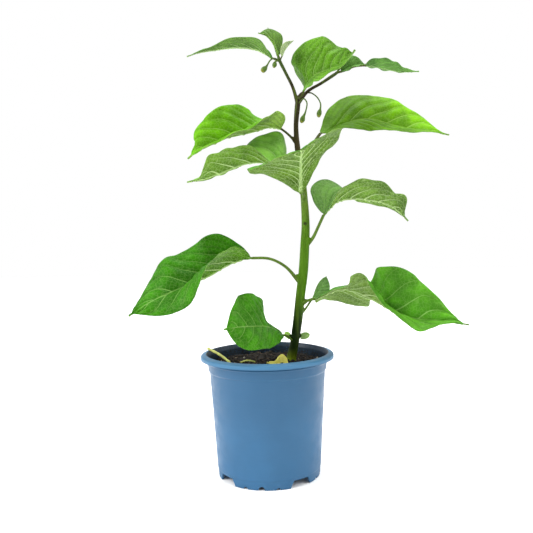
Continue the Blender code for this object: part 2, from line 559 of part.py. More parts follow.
def loft_round(rings):
    """Closed mesh through round rings, with a fan over each end."""
    around = len(rings[0])
    points = [tuple(p) for ring in rings for p in ring]
    faces = []
    for k in range(len(rings) - 1):
        for i in range(around):
            a = k * around + i
            b = k * around + (i + 1) % around
            faces.append((a, b, b + around, a + around))
    last = (len(rings) - 1) * around
    for ring, first in ((0, 0), (len(rings) - 1, last)):
        middle = len(points)
        points.append(tuple(np.mean(rings[ring], axis=0)))
        for i in range(around):
            edge = (first + i, first + (i + 1) % around)
            faces.append((middle, edge[1], edge[0]) if ring == 0 else (middle, edge[0], edge[1]))
    return points, faces


def add_mesh(name, points, faces, material):
    """A mesh object from points and faces, its faces turned outwards."""
    mesh = bpy.data.meshes.new(name)
    mesh.from_pydata([tuple(map(float, p)) for p in points], [], faces)
    shape = bmesh.new()
    shape.from_mesh(mesh)
    bmesh.ops.recalc_face_normals(shape, faces=shape.faces)
    shape.to_mesh(mesh)
    shape.free()
    mesh.shade_smooth()
    mesh.set_sharp_from_angle(angle=math.radians(50.0))
    item = bpy.data.objects.new(name, mesh)
    bpy.context.scene.collection.objects.link(item)
    if material:
        mesh.materials.append(material)
    return item


def plain_material(name, colour, roughness):
    """Principled material of one colour."""
    material = bpy.data.materials.new(name)
    material.use_nodes = True
    shader = material.node_tree.nodes["Principled BSDF"]
    shader.inputs["Base Color"].default_value = (*colour, 1.0)
    shader.inputs["Roughness"].default_value = roughness
    shader.inputs["Metallic"].default_value = 0.0
    return material


def hide_cutter(item):
    item.hide_render = True
    item.display_type = "WIRE"


def boolean(item, other, operation):
    """Boolean with another object, worked out exactly."""
    step = item.modifiers.new(operation.lower() + "_" + other.name, "BOOLEAN")
    step.operation = operation
    step.object = other
    step.solver = "EXACT"


def stem_tubes(name, extra, material):
    """The stem and its two branches as one body; extra grows it, for the cutter round it."""
    stem = add_mesh(name, *loft_round(tube_rings(STEM_PATH, STEM_STEPS, STEM_SIDES, extra)), material)
    for side, path in (("left", LEFT_BRANCH_PATH), ("right", RIGHT_BRANCH_PATH)):
        rings = tube_rings(path, BRANCH_STEPS, TUBE_SIDES, extra)
        branch = add_mesh(name + "_branch_" + side, *loft_round(rings), material)
        hide_cutter(branch)
        boolean(stem, branch, "UNION")
    return stem


def pot_profile():
    """Half section of the pot, from the axis over the floor and rim to the foot and back."""
    inner = -POT_WALL
    floor = FOOT_HEIGHT + FLOOR_THICKNESS
    step_radius = FOOT_RADIUS + 0.0009
    skirt_radius = FOOT_RADIUS - 0.0018
    return (
        (0.0, floor),
        (step_radius + inner, floor),
        (TAPER_TOP_RADIUS + inner, SHOULDER_HEIGHT - 0.0003),
        (BAND_RADIUS + inner, SHOULDER_HEIGHT + 0.0012),
        (BAND_TOP_RADIUS + inner, RIM_HEIGHT - 0.0040),
        (RIM_INNER_RADIUS - 0.0002, RIM_HEIGHT - 0.0006),
        (RIM_INNER_RADIUS + 0.0006, RIM_HEIGHT),
        (LIP_RADIUS - 0.0011, RIM_HEIGHT - 0.0010),
        (LIP_RADIUS - 0.0001, RIM_HEIGHT - 0.0019),
        (LIP_RADIUS, RIM_HEIGHT - 0.0019 - LIP_DROP),
        (LIP_RADIUS - 0.0012, RIM_HEIGHT - 0.0019 - LIP_DROP),
        (LIP_RADIUS - 0.0014, RIM_HEIGHT - 0.0026),
        (BAND_TOP_RADIUS, RIM_HEIGHT - 0.0026),
        (BAND_RADIUS, SHOULDER_HEIGHT + 0.0010),
        (TAPER_TOP_RADIUS, SHOULDER_HEIGHT - 0.0005),
        (step_radius, FOOT_HEIGHT + 0.0004),
        (FOOT_RADIUS, 0.0),
        (skirt_radius, 0.0),
        (skirt_radius, FOOT_HEIGHT),
        (0.0, FOOT_HEIGHT),
    )


def turn_profile(profile, segments, start=0.0):
    """Points and faces of a half section turned about the Z axis; its first and last points lie on it."""
    points = [(0.0, 0.0, profile[0][1])]
    faces = []
    ring = len(profile) - 2
    for k in range(segments):
        turn = start + 2 * math.pi * k / segments
        points += [(r * math.cos(turn), r * math.sin(turn), z) for r, z in profile[1:-1]]
    points.append((0.0, 0.0, profile[-1][1]))
    for k in range(segments):
        a = 1 + k * ring
        b = 1 + (k + 1) % segments * ring
        faces.append((0, a, b))
        faces += [(a + i, a + i + 1, b + i + 1, b + i) for i in range(ring - 1)]
        faces.append((len(points) - 1, b + ring - 1, a + ring - 1))
    return points, faces


def notch_cutter(name, angle):
    """A block across the foot skirt, as wide at the floor and at its top as the notch is there."""
    bpy.ops.mesh.primitive_cube_add(size=1.0)
    cutter = bpy.context.object
    cutter.name = name
    for corner in cutter.data.vertices:
        if corner.co.z < 0.0:
            corner.co.y *= 2 * NOTCH_FOOT_WIDTH / NOTCH_TOP_WIDTH - 1.0
    cutter.scale = (0.012, NOTCH_TOP_WIDTH, 2 * NOTCH_HEIGHT)
    cutter.rotation_euler = (0.0, 0.0, angle)
    cutter.location = (FOOT_RADIUS * math.cos(angle), FOOT_RADIUS * math.sin(angle), 0.0)
    hide_cutter(cutter)
    return cutter


def arch_cutter(name, angle, width, height):
    """A lying cylinder with an oval section, for the round-topped arch in a foot's edge."""
    bpy.ops.mesh.primitive_cylinder_add(vertices=12, radius=1.0, depth=0.012)
    cutter = bpy.context.object
    cutter.name = name
    cutter.scale = (height, width / 2, 1.0)
    cutter.rotation_euler = (0.0, math.pi / 2, angle)
    cutter.location = (FOOT_RADIUS * math.cos(angle), FOOT_RADIUS * math.sin(angle), 0.0)
    hide_cutter(cutter)
    return cutter


def make_pot(material):
    """The pot: a turned shell with four feet, small arches in their edges and drain holes."""
    pot = add_mesh("pot", *turn_profile(pot_profile(), POT_SEGMENTS), material)
    front = -math.pi / 2 + FRONT_FOOT_ANGLE
    pitch = 2 * math.pi / FOOT_COUNT
    for foot in range(FOOT_COUNT):
        middle = front + foot * pitch
        notch = notch_cutter(f"notch_cutter_{foot}", middle + pitch / 2)
        boolean(pot, notch, "DIFFERENCE")
        for i, (arch_width, arch_height) in enumerate(zip(ARCH_WIDTHS, ARCH_HEIGHTS)):
            angle = middle + (i - 1) * ARCH_SPACING
            arch = arch_cutter(f"arch_cutter_{foot}_{i}", angle, arch_width, arch_height)
            boolean(pot, arch, "DIFFERENCE")
        bpy.ops.mesh.primitive_cylinder_add(
            vertices=12, radius=DRAIN_HOLE_RADIUS, depth=0.008,
            location=(DRAIN_RING_RADIUS * math.cos(middle), DRAIN_RING_RADIUS * math.sin(middle),
                      FOOT_HEIGHT))
        drain = bpy.context.object
        drain.name = f"drain_cutter_{foot}"
        hide_cutter(drain)
        boolean(pot, drain, "DIFFERENCE")
    return pot


def soil_height(x, y):
    """Height of the soil's crumbly, slightly mounded top."""
    radius = math.hypot(x, y) / BAND_RADIUS
    mound = SOIL_MOUND * (1.0 - radius * radius)
    bumps = (noise.noise(Vector((x * 90.0, y * 90.0, 3.7)))
             + 0.5 * noise.noise(Vector((x * 210.0, y * 210.0, 8.1))))
    return SOIL_HEIGHT + mound + SOIL_BUMP * bumps


def make_soil(material, stem_cutter):
    """The soil: a plug that follows the pot's inside, with a plain hole for the stem."""
    clear = POT_WALL + GAP
    floor = FOOT_HEIGHT + FLOOR_THICKNESS + GAP
    sides = (
        (FOOT_RADIUS + 0.0009 - clear, floor),
        (TAPER_TOP_RADIUS - clear - 0.0001, SHOULDER_HEIGHT - 0.0003),
        (BAND_RADIUS - clear, SHOULDER_HEIGHT + 0.0015),
    )
    points = [(0.0, 0.0, floor)]
    faces = []
    turns = [2 * math.pi * k / SOIL_SECTORS for k in range(SOIL_SECTORS)]
    for r, z in sides:
        points += [(r * math.cos(a), r * math.sin(a), z) for a in turns]
    top_radius = BAND_RADIUS - clear
    for ring in range(SOIL_RINGS):
        r = top_radius * (1.0 - ring / SOIL_RINGS)
        for a in turns:
            x = r * math.cos(a)
            y = r * math.sin(a)
            points.append((x, y, soil_height(x, y)))
    points.append((0.0, 0.0, soil_height(0.0, 0.0)))
    levels = len(sides) + SOIL_RINGS
    for k in range(SOIL_SECTORS):
        after = (k + 1) % SOIL_SECTORS
        faces.append((0, 1 + after, 1 + k))
        for level in range(levels - 1):
            low = 1 + level * SOIL_SECTORS
            high = low + SOIL_SECTORS
            faces += [(low + k, low + after, high + after), (low + k, high + after, high + k)]
        last = 1 + (levels - 1) * SOIL_SECTORS
        faces.append((last + k, last + after, len(points) - 1))
    soil = add_mesh("soil", points, faces, material)
    boolean(soil, stem_cutter, "DIFFERENCE")
    return soil


def make_plant(materials, stem_cutter):
    """Stem, leaves and buds; whatever grows from the stem is cut back to its surface."""
    stem_tubes("main_stem", 0.0, materials["stem"])
    for leaf in LEAVES:
        kind = "withered" if leaf.name == "fallen_leaf" else "young" if leaf.width < 0.02 else "leaf"
        points, faces, upper = leaf_mesh(leaf)
        blade = add_mesh(leaf.name, points, faces, materials["withered" if kind == "withered" else "under"])
        blade.data.materials.append(materials[kind])
        for face in upper:
            blade.data.polygons[face].material_index = 1
        if leaf.name != "fallen_leaf":
            boolean(blade, stem_cutter, "DIFFERENCE")
    for name, path in TUBES.items():
        bud = name.startswith("flower_bud")
        rings = tube_rings(path, TUBE_STEPS, TUBE_SIDES)
        tube = add_mesh(name, *loft_round(rings), materials["bud" if bud else "withered"])
        if bud:
            boolean(tube, stem_cutter, "DIFFERENCE")


def place_on_origin():
    """One empty carries every piece, cutters too."""
    pieces = list(bpy.context.scene.objects)
    holder = bpy.data.objects.new("potted_plant", None)
    bpy.context.scene.collection.objects.link(holder)
    holder.location = (POT_X, POT_Y, 0.0)
    for item in pieces:
        item.parent = holder


def main():
    for item in list(bpy.data.objects):
        bpy.data.objects.remove(item, do_unlink=True)
    materials = {
        "pot": plain_material("pot_plastic", POT_BLUE, 0.45),
        "soil": plain_material("peat_soil", PEAT, 0.95),
        "stem": plain_material("green_stem", STEM_GREEN, 0.50),
        "leaf": plain_material("leaf_green", LEAF_GREEN, 0.45),
        "under": plain_material("leaf_underside", UNDERSIDE_GREEN, 0.60),
        "young": plain_material("young_leaf_green", YOUNG_GREEN, 0.45),
        "bud": plain_material("bud_green", BUD_GREEN, 0.45),
        "withered": plain_material("withered_yellow", WITHERED, 0.60),
    }
    stem_cutter = stem_tubes("stem_clearance", GAP, None)
    hide_cutter(stem_cutter)
    make_pot(materials["pot"])
    make_soil(materials["soil"], stem_cutter)
    make_plant(materials, stem_cutter)
    place_on_origin()


main()
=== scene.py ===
"""Looks of a young chilli pepper plant in a blue plastic pot.

Every piece stands for the CAD node of the same place and is made from the same measures, taken in
metres from the pot's axis on the floor. The front faces -Y, and +X is to the right.
"""
import math
from dataclasses import dataclass

import bmesh
import bpy
import numpy as np
from mathutils import Matrix, Vector, noise


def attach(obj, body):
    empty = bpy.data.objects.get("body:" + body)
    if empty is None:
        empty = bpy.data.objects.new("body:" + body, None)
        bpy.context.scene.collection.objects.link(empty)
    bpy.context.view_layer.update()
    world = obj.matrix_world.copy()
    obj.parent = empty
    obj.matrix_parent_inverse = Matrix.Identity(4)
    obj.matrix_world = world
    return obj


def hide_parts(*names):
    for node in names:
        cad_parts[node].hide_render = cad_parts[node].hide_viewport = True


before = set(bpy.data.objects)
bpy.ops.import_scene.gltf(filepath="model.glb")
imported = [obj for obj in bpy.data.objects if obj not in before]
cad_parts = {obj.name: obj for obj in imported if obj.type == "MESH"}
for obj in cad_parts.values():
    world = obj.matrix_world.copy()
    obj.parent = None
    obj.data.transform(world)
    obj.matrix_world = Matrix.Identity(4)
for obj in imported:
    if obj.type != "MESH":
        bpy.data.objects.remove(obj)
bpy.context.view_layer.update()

# Where the pot's axis stands in the frame
POT_X = -0.0315
POT_Y = 0.0231
POT_AXIS = (POT_X, POT_Y, 0.0)

# Camera: eye, tilt down, roll, and focal length for a 36 mm wide image
EYE = (0.0010, -0.5880, 0.2170)
TILT = math.radians(2.9)
ROLL = math.radians(-1.2)
LENS = 44.24

# Fineness of the leaves
BLADE_ROWS = 120
HALF_COLUMNS = 26
SMALL_BLADE_ROWS = 44
SMALL_HALF_COLUMNS = 10
SMALL_LEAF_WIDTH = 0.008
ROW_CROWDING = 0.35
COLUMN_CROWDING = 1.45
CURVE_STEPS = 40
STALK_ROWS = 22
TIP_HALF_WIDTH = 0.0004
DRIP_SHARE = 0.05
BLADE_HALF_THICKNESS = 0.00022
MARGIN_THINNING = 0.5

# Stalk and midrib: shares of the stalk's radius, and the groove's spread in radians
FOOT_SWELLING = 0.55
STALK_GROOVE = 0.22
GROOVE_SPREAD = 0.45
RIB_TAPER = 0.75
RIB_GROOVE = 0.25
RIB_KEEL = 1.1

# Relief of a blade one LEAF_SCALE wide: veins sink into the upper side, and the fields between bulge
LEAF_SCALE = 0.035
VEIN_PAIRS = 7.0
VEIN_CROWDING = 0.9
VEIN_LEAN = 0.34
VEIN_CURVE = 0.15
ALTERNATION = 0.35
VEIN_DEPTH = 0.0005
VEIN_SPREAD = 0.075
VEIN_FADE = 0.8
VEIN_WANDER = 0.18
VEIN_KEEL = 0.00030
TIP_UPRIGHT = 0.4
FIELD_BULGE = 0.0009
BULGE_FLATNESS = 0.7
BULGE_WANDER = 0.6
CROWN = 0.035
MARGIN_CRINKLE = 0.0006
SURFACE_WANDER = 0.0010

# Pot
POT_WALL = 0.0012
FOOT_RADIUS = 0.0459
FOOT_HEIGHT = 0.0070
TAPER_TOP_RADIUS = 0.0521
SHOULDER_HEIGHT = 0.0945
BAND_RADIUS = 0.0533
BAND_TOP_RADIUS = 0.0541
LIP_RADIUS = 0.0600
LIP_DROP = 0.0030
RIM_HEIGHT = 0.1100
RIM_INNER_RADIUS = 0.0545
BAND_SLOPE = (BAND_TOP_RADIUS - BAND_RADIUS) / (RIM_HEIGHT - 0.004 - SHOULDER_HEIGHT)
FLOOR_THICKNESS = 0.0014
POT_SEGMENTS = 240
FOOT_COUNT = 4
FRONT_FOOT_ANGLE = math.radians(-8.7)
NOTCH_TOP_WIDTH = 0.0164
NOTCH_FOOT_WIDTH = 0.0216
NOTCH_HEIGHT = 0.0066
ARCH_WIDTHS = (0.0040, 0.0056, 0.0040)
ARCH_HEIGHTS = (0.0020, 0.0034, 0.0020)
ARCH_SPACING = math.radians(18.0)
NOTCH_CORNER = 0.0010
CUT_DEPTH = 0.012
CUT_MARGIN = 0.002
DRAIN_HOLE_RADIUS = 0.0045
DRAIN_RING_RADIUS = 0.0300

# Soil
SOIL_HEIGHT = 0.0990
SOIL_MOUND = 0.0025
SOIL_BUMP = 0.0012
SOIL_RINGS = 70
SOIL_SECTORS = 220
CRUMB_COUNT = 1500
PERLITE_COUNT = 60
FIBRE_COUNT = 110
SOIL_TOP_RADIUS = BAND_RADIUS - POT_WALL - 0.0003
CRUMB_RELIEF = 0.0009

# Stem
STEM_VOXEL = 0.00045
STEM_SMOOTHING = 9
COLLAR_REACH = 0.0030
COLLAR_TOP = 0.34
SCARS = (((0.0362, -0.0036, 0.2250), 0.0022), ((0.0283, -0.0040, 0.1500), 0.0016))
YOUNG_WIDTH = 0.0140
VEINED_WIDTH = 0.0260
SHOOT_HEIGHT = 0.29
BUD_STEPS = 48
BUD_SIDES = 20
TUBE_START = (0.31, 0.95, 0.05)

# Colours up the stem and along a bud: each zone fades in between two heights, or shares of the length
# Painted light: the stem's foot is coloured lighter where the pot shades it
STEM_FOOT_PAINTED_LIGHT = (178, 206, 44)
STEM_ZONES = (
    (0.104, 0.122, (26, 56, 2)),
    (0.140, 0.174, (106, 161, 28)),
    (0.215, 0.245, (118, 160, 52)),
    (0.248, 0.285, (84, 72, 42)),
    (0.300, 0.350, (70, 56, 38)),
    (0.352, 0.376, (104, 132, 62)),
)
BUD_ZONES = (
    (0.05, 0.45, (98, 136, 36)),
    (0.55, 0.75, (104, 142, 48)),
    (0.92, 0.98, (168, 172, 60)),
)

# Surroundings
SEEN_GAIN = 0.46
FLOOR_HALF_SIZE = 3.0
WORLD_STRENGTH = 1.0
SOFT_LIGHTS = (
    ("soft_left", (-1.3, -0.5, 1.0), (1.0, 1.0), 26.0),
    ("soft_right", (1.3, -0.3, 1.0), (1.0, 1.0), 12.0),
    ("soft_top", (0.2, 0.1, 1.9), (1.2, 1.2), 44.0),
)


# Stem: centre line with the radius there, from the buried end to the fork
STEM_PATH = (
    ((0.0205, 0.002, 0.055), 0.004),
    ((0.021, 0.002, 0.08), 0.0045),
    ((0.0215, 0.002, 0.101), 0.0046),
    ((0.0245, 0.002, 0.115), 0.0041),
    ((0.028, 0.002, 0.136), 0.0043),
    ((0.031, 0.001, 0.16), 0.0043),
    ((0.034, 0.0, 0.182), 0.0043),
    ((0.0358, 0.0, 0.206), 0.0041),
    ((0.0368, 0.0, 0.224), 0.0037),
    ((0.0358, 0.0, 0.25), 0.0032),
    ((0.0335, 0.001, 0.275), 0.0029),
    ((0.031, 0.002, 0.292), 0.0026),
    ((0.03, 0.003, 0.312), 0.0022),
    ((0.032, 0.004, 0.333), 0.0024),
    ((0.0322, 0.004, 0.337), 0.0018),
)
LEFT_BRANCH_PATH = (
    ((0.0318, 0.004, 0.332), 0.0018),
    ((0.0279, 0.003, 0.346), 0.0015),
    ((0.021, 0.001, 0.36), 0.0014),
    ((0.0163, 0.0, 0.3695), 0.0015),
    ((0.015, 0.0, 0.3735), 0.0011),
)
RIGHT_BRANCH_PATH = (
    ((0.0322, 0.004, 0.332), 0.0018),
    ((0.041, 0.006, 0.343), 0.0015),
    ((0.054, 0.009, 0.351), 0.0014),
    ((0.066, 0.012, 0.359), 0.0015),
    ((0.07, 0.0125, 0.3615), 0.001),
)


@dataclass
class Leaf:
    """One leaf: its stalk and midrib in space, and how its two halves open along the midrib.

    left and right are the angles in degrees between each half and the level, at even stations from
    the blade's base to its tip. Left is the left hand when looking from the stalk to the tip. width
    is that of one half, and a share narrows or widens one of them, all along or by stations. A
    sweep draws a half's margin back towards the base, by stations too. belly says how far along the
    blade it is widest, point is how slender it gets towards the tip, and drip is the share of the
    blade that is the thread-like tip.
    """

    name: str
    stalk: tuple
    midrib: tuple
    width: float
    left: tuple
    right: tuple
    belly: float = 0.4
    point: float = 1.0
    left_share: object = 1.0
    right_share: object = 1.0
    left_sweep: tuple = (0.1, 0.0)
    right_sweep: tuple = (0.1, 0.0)
    stalk_radius: float = 0.0013
    drip: float = 0.06
    wave: float = 0.0012
    waves: float = 4.0


# The first ten leaves, down to leaf_front_centre, are fitted ones: a least-squares fit outside this
# script moved their midribs, angles, shares and sweeps until each outline met points that were read
# off the photograph. Only the right half of leaf_top_left was chosen
LEAVES = (
    Leaf("leaf_lower_left",
         stalk=((0.03, 0.0, 0.173), (0.018, -0.004, 0.187), (0.004, -0.008, 0.1945)),
         midrib=((-0.0134, -0.01, 0.1956), (-0.0226, -0.012, 0.1941), (-0.0346, -0.015, 0.1895),
                 (-0.0466, -0.02, 0.1827), (-0.0588, -0.025, 0.1773), (-0.0701, -0.03, 0.1726),
                 (-0.0826, -0.034, 0.1676), (-0.0968, -0.038, 0.1615),
                 (-0.1151, -0.043, 0.1504)),
         width=0.037, belly=0.45, point=0.95, drip=0.03, left_sweep=(0.1, 0.29),
         right_sweep=(0.21, 0),
         left_share=(0.9, 0.94, 0.93, 1.03, 1.0, 1.11, 1.16),
         right_share=(0.65, 0.98, 0.84, 0.87, 1.03, 1.08, 1.22),
         left=(34, 39, 29, 27, 19, -13, -31, -49, -41),
         right=(64, 76, 78, 61, 53, 54, 35, 20, 33)),
    Leaf("leaf_lower_right",
         stalk=((0.03, 0.0, 0.153), (0.04, -0.004, 0.157)),
         midrib=((0.0438, -0.006, 0.1577), (0.0554, -0.008, 0.1633), (0.0676, -0.012, 0.167),
                 (0.0836, -0.016, 0.1627), (0.0987, -0.02, 0.1543), (0.1112, -0.026, 0.1467),
                 (0.1286, -0.032, 0.141), (0.1475, -0.036, 0.1403), (0.1698, -0.042, 0.1369)),
         width=0.038, belly=0.46, point=0.85, drip=0.03,
         left_sweep=(0.62, 0.53, 0.5, 0.29, 0.02, -0.1, -0.02, 1.16, 1.15, 0.74, 0.44, 0.21, 0.05,
                     0.01, 0.16, 0.22, 0.31),
         right_sweep=(-0.03, 0.03, -0.08, -0.08, 0.07, 0.37, 0.49, 0.4, 0.09, 0.03, 0.06, 0.12,
                      0.23, 0.19, 0.12, 0.18, 0.21),
         left_share=(0.83, 0.7, 0.78, 0.82, 0.85, 0.87, 0.89, 0.39, 0.6, 0.88, 1.1, 1.16, 1.1,
                     0.91, 0.72, 0.66, 0.78),
         right_share=(0.91, 0.93, 0.87, 0.84, 0.82, 0.85, 0.8, 0.76, 0.83, 0.87, 0.87, 0.87, 0.92,
                      0.92, 0.9, 0.91, 0.91),
         left=(-42, -21, -26, -33, -35, -29, -14, 33, 85, 84, 88, 88, 86, 87, 78, 56, 22),
         right=(-1, -3, 1, 6, 15, 25, 36, 29, 12, 5, 2, -4, -14, -12, -2, 6, -8)),
    Leaf("leaf_low_front",
         stalk=((0.0225, 0.0, 0.121), (0.0185, -0.004, 0.1245)),
         midrib=((0.0145, -0.008, 0.1262), (0.0079, -0.013, 0.1321), (-0.0004, -0.022, 0.1361),
                 (-0.0081, -0.034, 0.1381), (-0.0156, -0.046, 0.1396), (-0.0236, -0.057, 0.1409),
                 (-0.0338, -0.071, 0.1414)),
         width=0.03, belly=0.5, point=0.7, stalk_radius=0.0011, drip=0.04, left_sweep=(0.12, -0.13),
         right_sweep=(0.51, 0.05),
         left_share=(0.78, 0.74, 0.7, 0.73, 0.81, 0.96, 1.12),
         right_share=(0.99, 0.89, 0.83, 0.9, 1.04, 1.09, 1.04),
         left=(-47, -48, -47, -51, -51, -64, -61),
         right=(40, 22, 69, 77, 70, 81, 93)),
    Leaf("leaf_upper_right",
         stalk=((0.032, 0.002, 0.283), (0.038, 0.006, 0.288)),
         midrib=((0.0531, 0.012, 0.3074), (0.0561, 0.016, 0.3087), (0.0635, 0.02, 0.312),
                 (0.0754, 0.024, 0.3167), (0.0894, 0.027, 0.3207), (0.104, 0.03, 0.3211),
                 (0.1209, 0.032, 0.3162), (0.1385, 0.034, 0.3125), (0.1564, 0.035, 0.3104),
                 (0.176, 0.036, 0.3063)),
         width=0.033, belly=0.48, point=0.8, drip=0.03, left_sweep=(0.11, 0.08),
         right_sweep=(0.48, 0.03),
         left_share=(0.3, 0.81, 0.96, 0.94, 0.98, 1.08, 1.05),
         right_share=(0.74, 0.68, 0.66, 0.66, 0.8, 0.95, 1.1),
         left=(26, 54, 53, 58, 63, 46, 22),
         right=(-32, -12, -33, -36, -20, -18, -7)),
    Leaf("leaf_top_left",
         stalk=((0.0165, 0.0008, 0.369), (0.014, 0.0022, 0.3705)),
         midrib=((0.0098, 0.0028, 0.3725), (0.0054, 0.003, 0.3758), (-0.003, 0.005, 0.3804),
                 (-0.0132, 0.006, 0.3827), (-0.0276, 0.007, 0.3832), (-0.0421, 0.007, 0.3814),
                 (-0.0548, 0.006, 0.3794), (-0.0661, 0.005, 0.3757)),
         width=0.0135, belly=0.45, point=0.9, stalk_radius=0.0009, drip=0.05, wave=0.0008,
         left_sweep=(0, 0.18),
         left_share=(1.03, 0.96, 0.69, 0.64, 0.46, 0.3, 0.33),
         right_share=0.9,
         left=(-12, 43, 61, 62, 53, 41, 40),
         right=(35, 42, 45, 42, 38, 34, 30)),
    Leaf("leaf_upper_left",
         stalk=((0.0305, 0.003, 0.297), (0.0225, 0.0065, 0.306)),
         midrib=((0.0167, 0.01, 0.3112), (0.0066, 0.01, 0.3131), (-0.0054, 0.0085, 0.3098),
                 (-0.0178, 0.006, 0.3065), (-0.031, 0.003, 0.3033), (-0.0421, 0.001, 0.2984),
                 (-0.0509, 0.0, 0.2945), (-0.0575, 0.0, 0.2916), (-0.0622, 0.002, 0.2893),
                 (-0.0675, 0.004, 0.2852)),
         width=0.037, belly=0.45, point=0.6, stalk_radius=0.001, left_sweep=(0.42, 0.11),
         right_sweep=(0.16, -0.08),
         left_share=(0.71, 0.79, 0.75, 0.66, 0.62, 0.7, 0.84),
         right_share=(0.6, 0.76, 0.85, 0.82, 0.79, 0.89, 0.91),
         left=(51, 18, 7, -2, -6, -9, -17),
         right=(4, 33, 60, 74, 73, 57, 23)),
    Leaf("leaf_middle_left",
         stalk=((0.033, 0.001, 0.267), (0.028, -0.0025, 0.269)),
         midrib=((0.0235, -0.004, 0.2716), (0.0166, -0.006, 0.2748), (0.0082, -0.009, 0.2775),
                 (-0.002, -0.013, 0.2792), (-0.0126, -0.017, 0.2783), (-0.0242, -0.021, 0.2746),
                 (-0.0357, -0.026, 0.2694), (-0.0455, -0.03, 0.2656), (-0.0538, -0.032, 0.2634),
                 (-0.0644, -0.034, 0.2612)),
         width=0.031, belly=0.42, point=0.6, left_sweep=(-0.56, -0.13), right_sweep=(-0.1, 0.67),
         left_share=(0.79, 0.69, 0.69, 0.83, 0.95, 1.06, 1.09),
         right_share=(1.36, 1.24, 0.99, 0.84, 0.78, 0.81, 0.83),
         left=(-23, -13, 3, 34, 36, 38, 47, 10, 11),
         right=(25, 72, 54, 32, -2, -6, -4, -8, -14)),
    Leaf("leaf_middle_right",
         stalk=((0.038, 0.0, 0.206), (0.043, -0.005, 0.2125), (0.047, -0.009, 0.221)),
         midrib=((0.0524, -0.012, 0.2328), (0.0578, -0.014, 0.239), (0.0646, -0.017, 0.244),
                 (0.0754, -0.021, 0.2455), (0.0896, -0.025, 0.2441), (0.1027, -0.028, 0.2407),
                 (0.113, -0.031, 0.2345), (0.1213, -0.034, 0.2249)),
         width=0.031, belly=0.38, point=0.6, left_sweep=(0.34, 0.6), right_sweep=(-0.85, -0.06),
         left_share=(0.33, 0.91, 0.58, 0.63, 0.63, 0.59, 0.6),
         right_share=(0.64, 0.74, 0.75, 0.81, 0.96, 1.3, 1.45),
         left=(58, 76, 26, -8, -14, -24, -27),
         right=(-17, 11, 36, 39, 27, 33, -1)),
    Leaf("leaf_top_dome",
         stalk=((0.0325, 0.003, 0.336), (0.0365, 0.0015, 0.3405)),
         midrib=((0.0372, 0.0, 0.3431), (0.0409, -0.003, 0.3477), (0.0471, -0.008, 0.3542),
                 (0.0568, -0.013, 0.3568), (0.0659, -0.017, 0.3601), (0.0726, -0.019, 0.3634),
                 (0.0779, -0.02, 0.3683), (0.0804, -0.02, 0.3718)),
         width=0.038, belly=0.36, point=0.55, stalk_radius=0.0011, left_sweep=(0.18, -0.34),
         right_sweep=(-0.23, 0.07),
         left_share=(1.11, 0.93, 0.87, 0.88, 0.75, 0.76, 1.04),
         right_share=(0.75, 0.68, 0.64, 0.6, 0.71, 0.85, 1.01),
         left=(26, 71, 76, 77, 61, 61, 94),
         right=(-27, -31, -33, -28, -26, -27, -21)),
    Leaf("leaf_front_centre",
         stalk=((0.0355, -0.001, 0.244), (0.035, -0.006, 0.249), (0.034, -0.013, 0.252)),
         midrib=((0.0321, -0.018, 0.2513), (0.0311, -0.028, 0.2573), (0.0306, -0.043, 0.2643),
                 (0.03, -0.062, 0.2704), (0.0293, -0.082, 0.2746), (0.0282, -0.106, 0.2772)),
         width=0.042, belly=0.5, point=0.9, left_sweep=(0.14, -0.27), right_sweep=(0.21, -0.05),
         left_share=(0.39, 0.56, 0.72, 0.91, 1.11, 1.26, 1.4),
         right_share=(0.42, 0.58, 0.82, 0.97, 1.1, 1.16, 1.24),
         left=(21, 44, 41, 37, 36, 35, 52),
         right=(4, 12, 4, -3, -8, -11, 14)),
    Leaf("leaf_far_right",
         stalk=((0.069, 0.0122, 0.361), (0.0755, 0.0142, 0.3628), (0.085, 0.0165, 0.3668)),
         midrib=((0.0951, 0.018, 0.368), (0.1021, 0.019, 0.3676), (0.1105, 0.02, 0.3659),
                 (0.1189, 0.021, 0.3642), (0.1272, 0.021, 0.3627), (0.1352, 0.02, 0.362),
                 (0.1442, 0.019, 0.3618)),
         width=0.0135, belly=0.4, point=0.9, stalk_radius=0.0008, wave=0.0008,
         left=(4, 8, 10, 9, 5),
         right=(30, 24, 20, 10, 0)),
    Leaf("leaf_right_shoot",
         stalk=((0.069, 0.011, 0.361),),
         midrib=((0.0722, 0.01, 0.3612), (0.0762, 0.009, 0.3634), (0.0825, 0.009, 0.3655),
                 (0.0881, 0.0095, 0.3666), (0.0941, 0.01, 0.3671)),
         width=0.011, belly=0.45, point=0.9, stalk_radius=0.0008, wave=0.0008, waves=3.0,
         left=(60, 75, 80, 75, 60),
         right=(-25, -20, -16, -16, -16)),
    Leaf("young_leaf_left",
         stalk=((0.016, 0.0, 0.3718),),
         midrib=((0.0157, -0.0003, 0.3735), (0.0147, -0.001, 0.3766), (0.0108, -0.002, 0.3842),
                 (0.0048, -0.003, 0.3905), (-0.0021, -0.004, 0.3924)),
         width=0.0115, belly=0.5, point=0.8, stalk_radius=0.0008, wave=0.0006, waves=3.0,
         left_sweep=(0, 0), right_sweep=(-0.15, 0),
         left=(-14, -14, -14, -14, -14),
         right=(45, 62, 78, 65, 30)),
    Leaf("young_leaf_right",
         stalk=((0.0172, -0.0012, 0.3703),),
         midrib=((0.0184, -0.0024, 0.3724), (0.0204, -0.0034, 0.3766), (0.024, -0.0042, 0.3811),
                 (0.0287, -0.0048, 0.3853)),
         width=0.0045, belly=0.5, point=0.8, stalk_radius=0.0006, wave=0.0003, waves=2.0,
         left=(30, 25, 20, 20, 20),
         right=(40, 50, 50, 40, 30)),
    Leaf("young_leaf_spike",
         stalk=((0.0152, 0.0018, 0.3722),),
         midrib=((0.0147, 0.005, 0.3752), (0.012, 0.0085, 0.385), (0.009, 0.009, 0.3936),
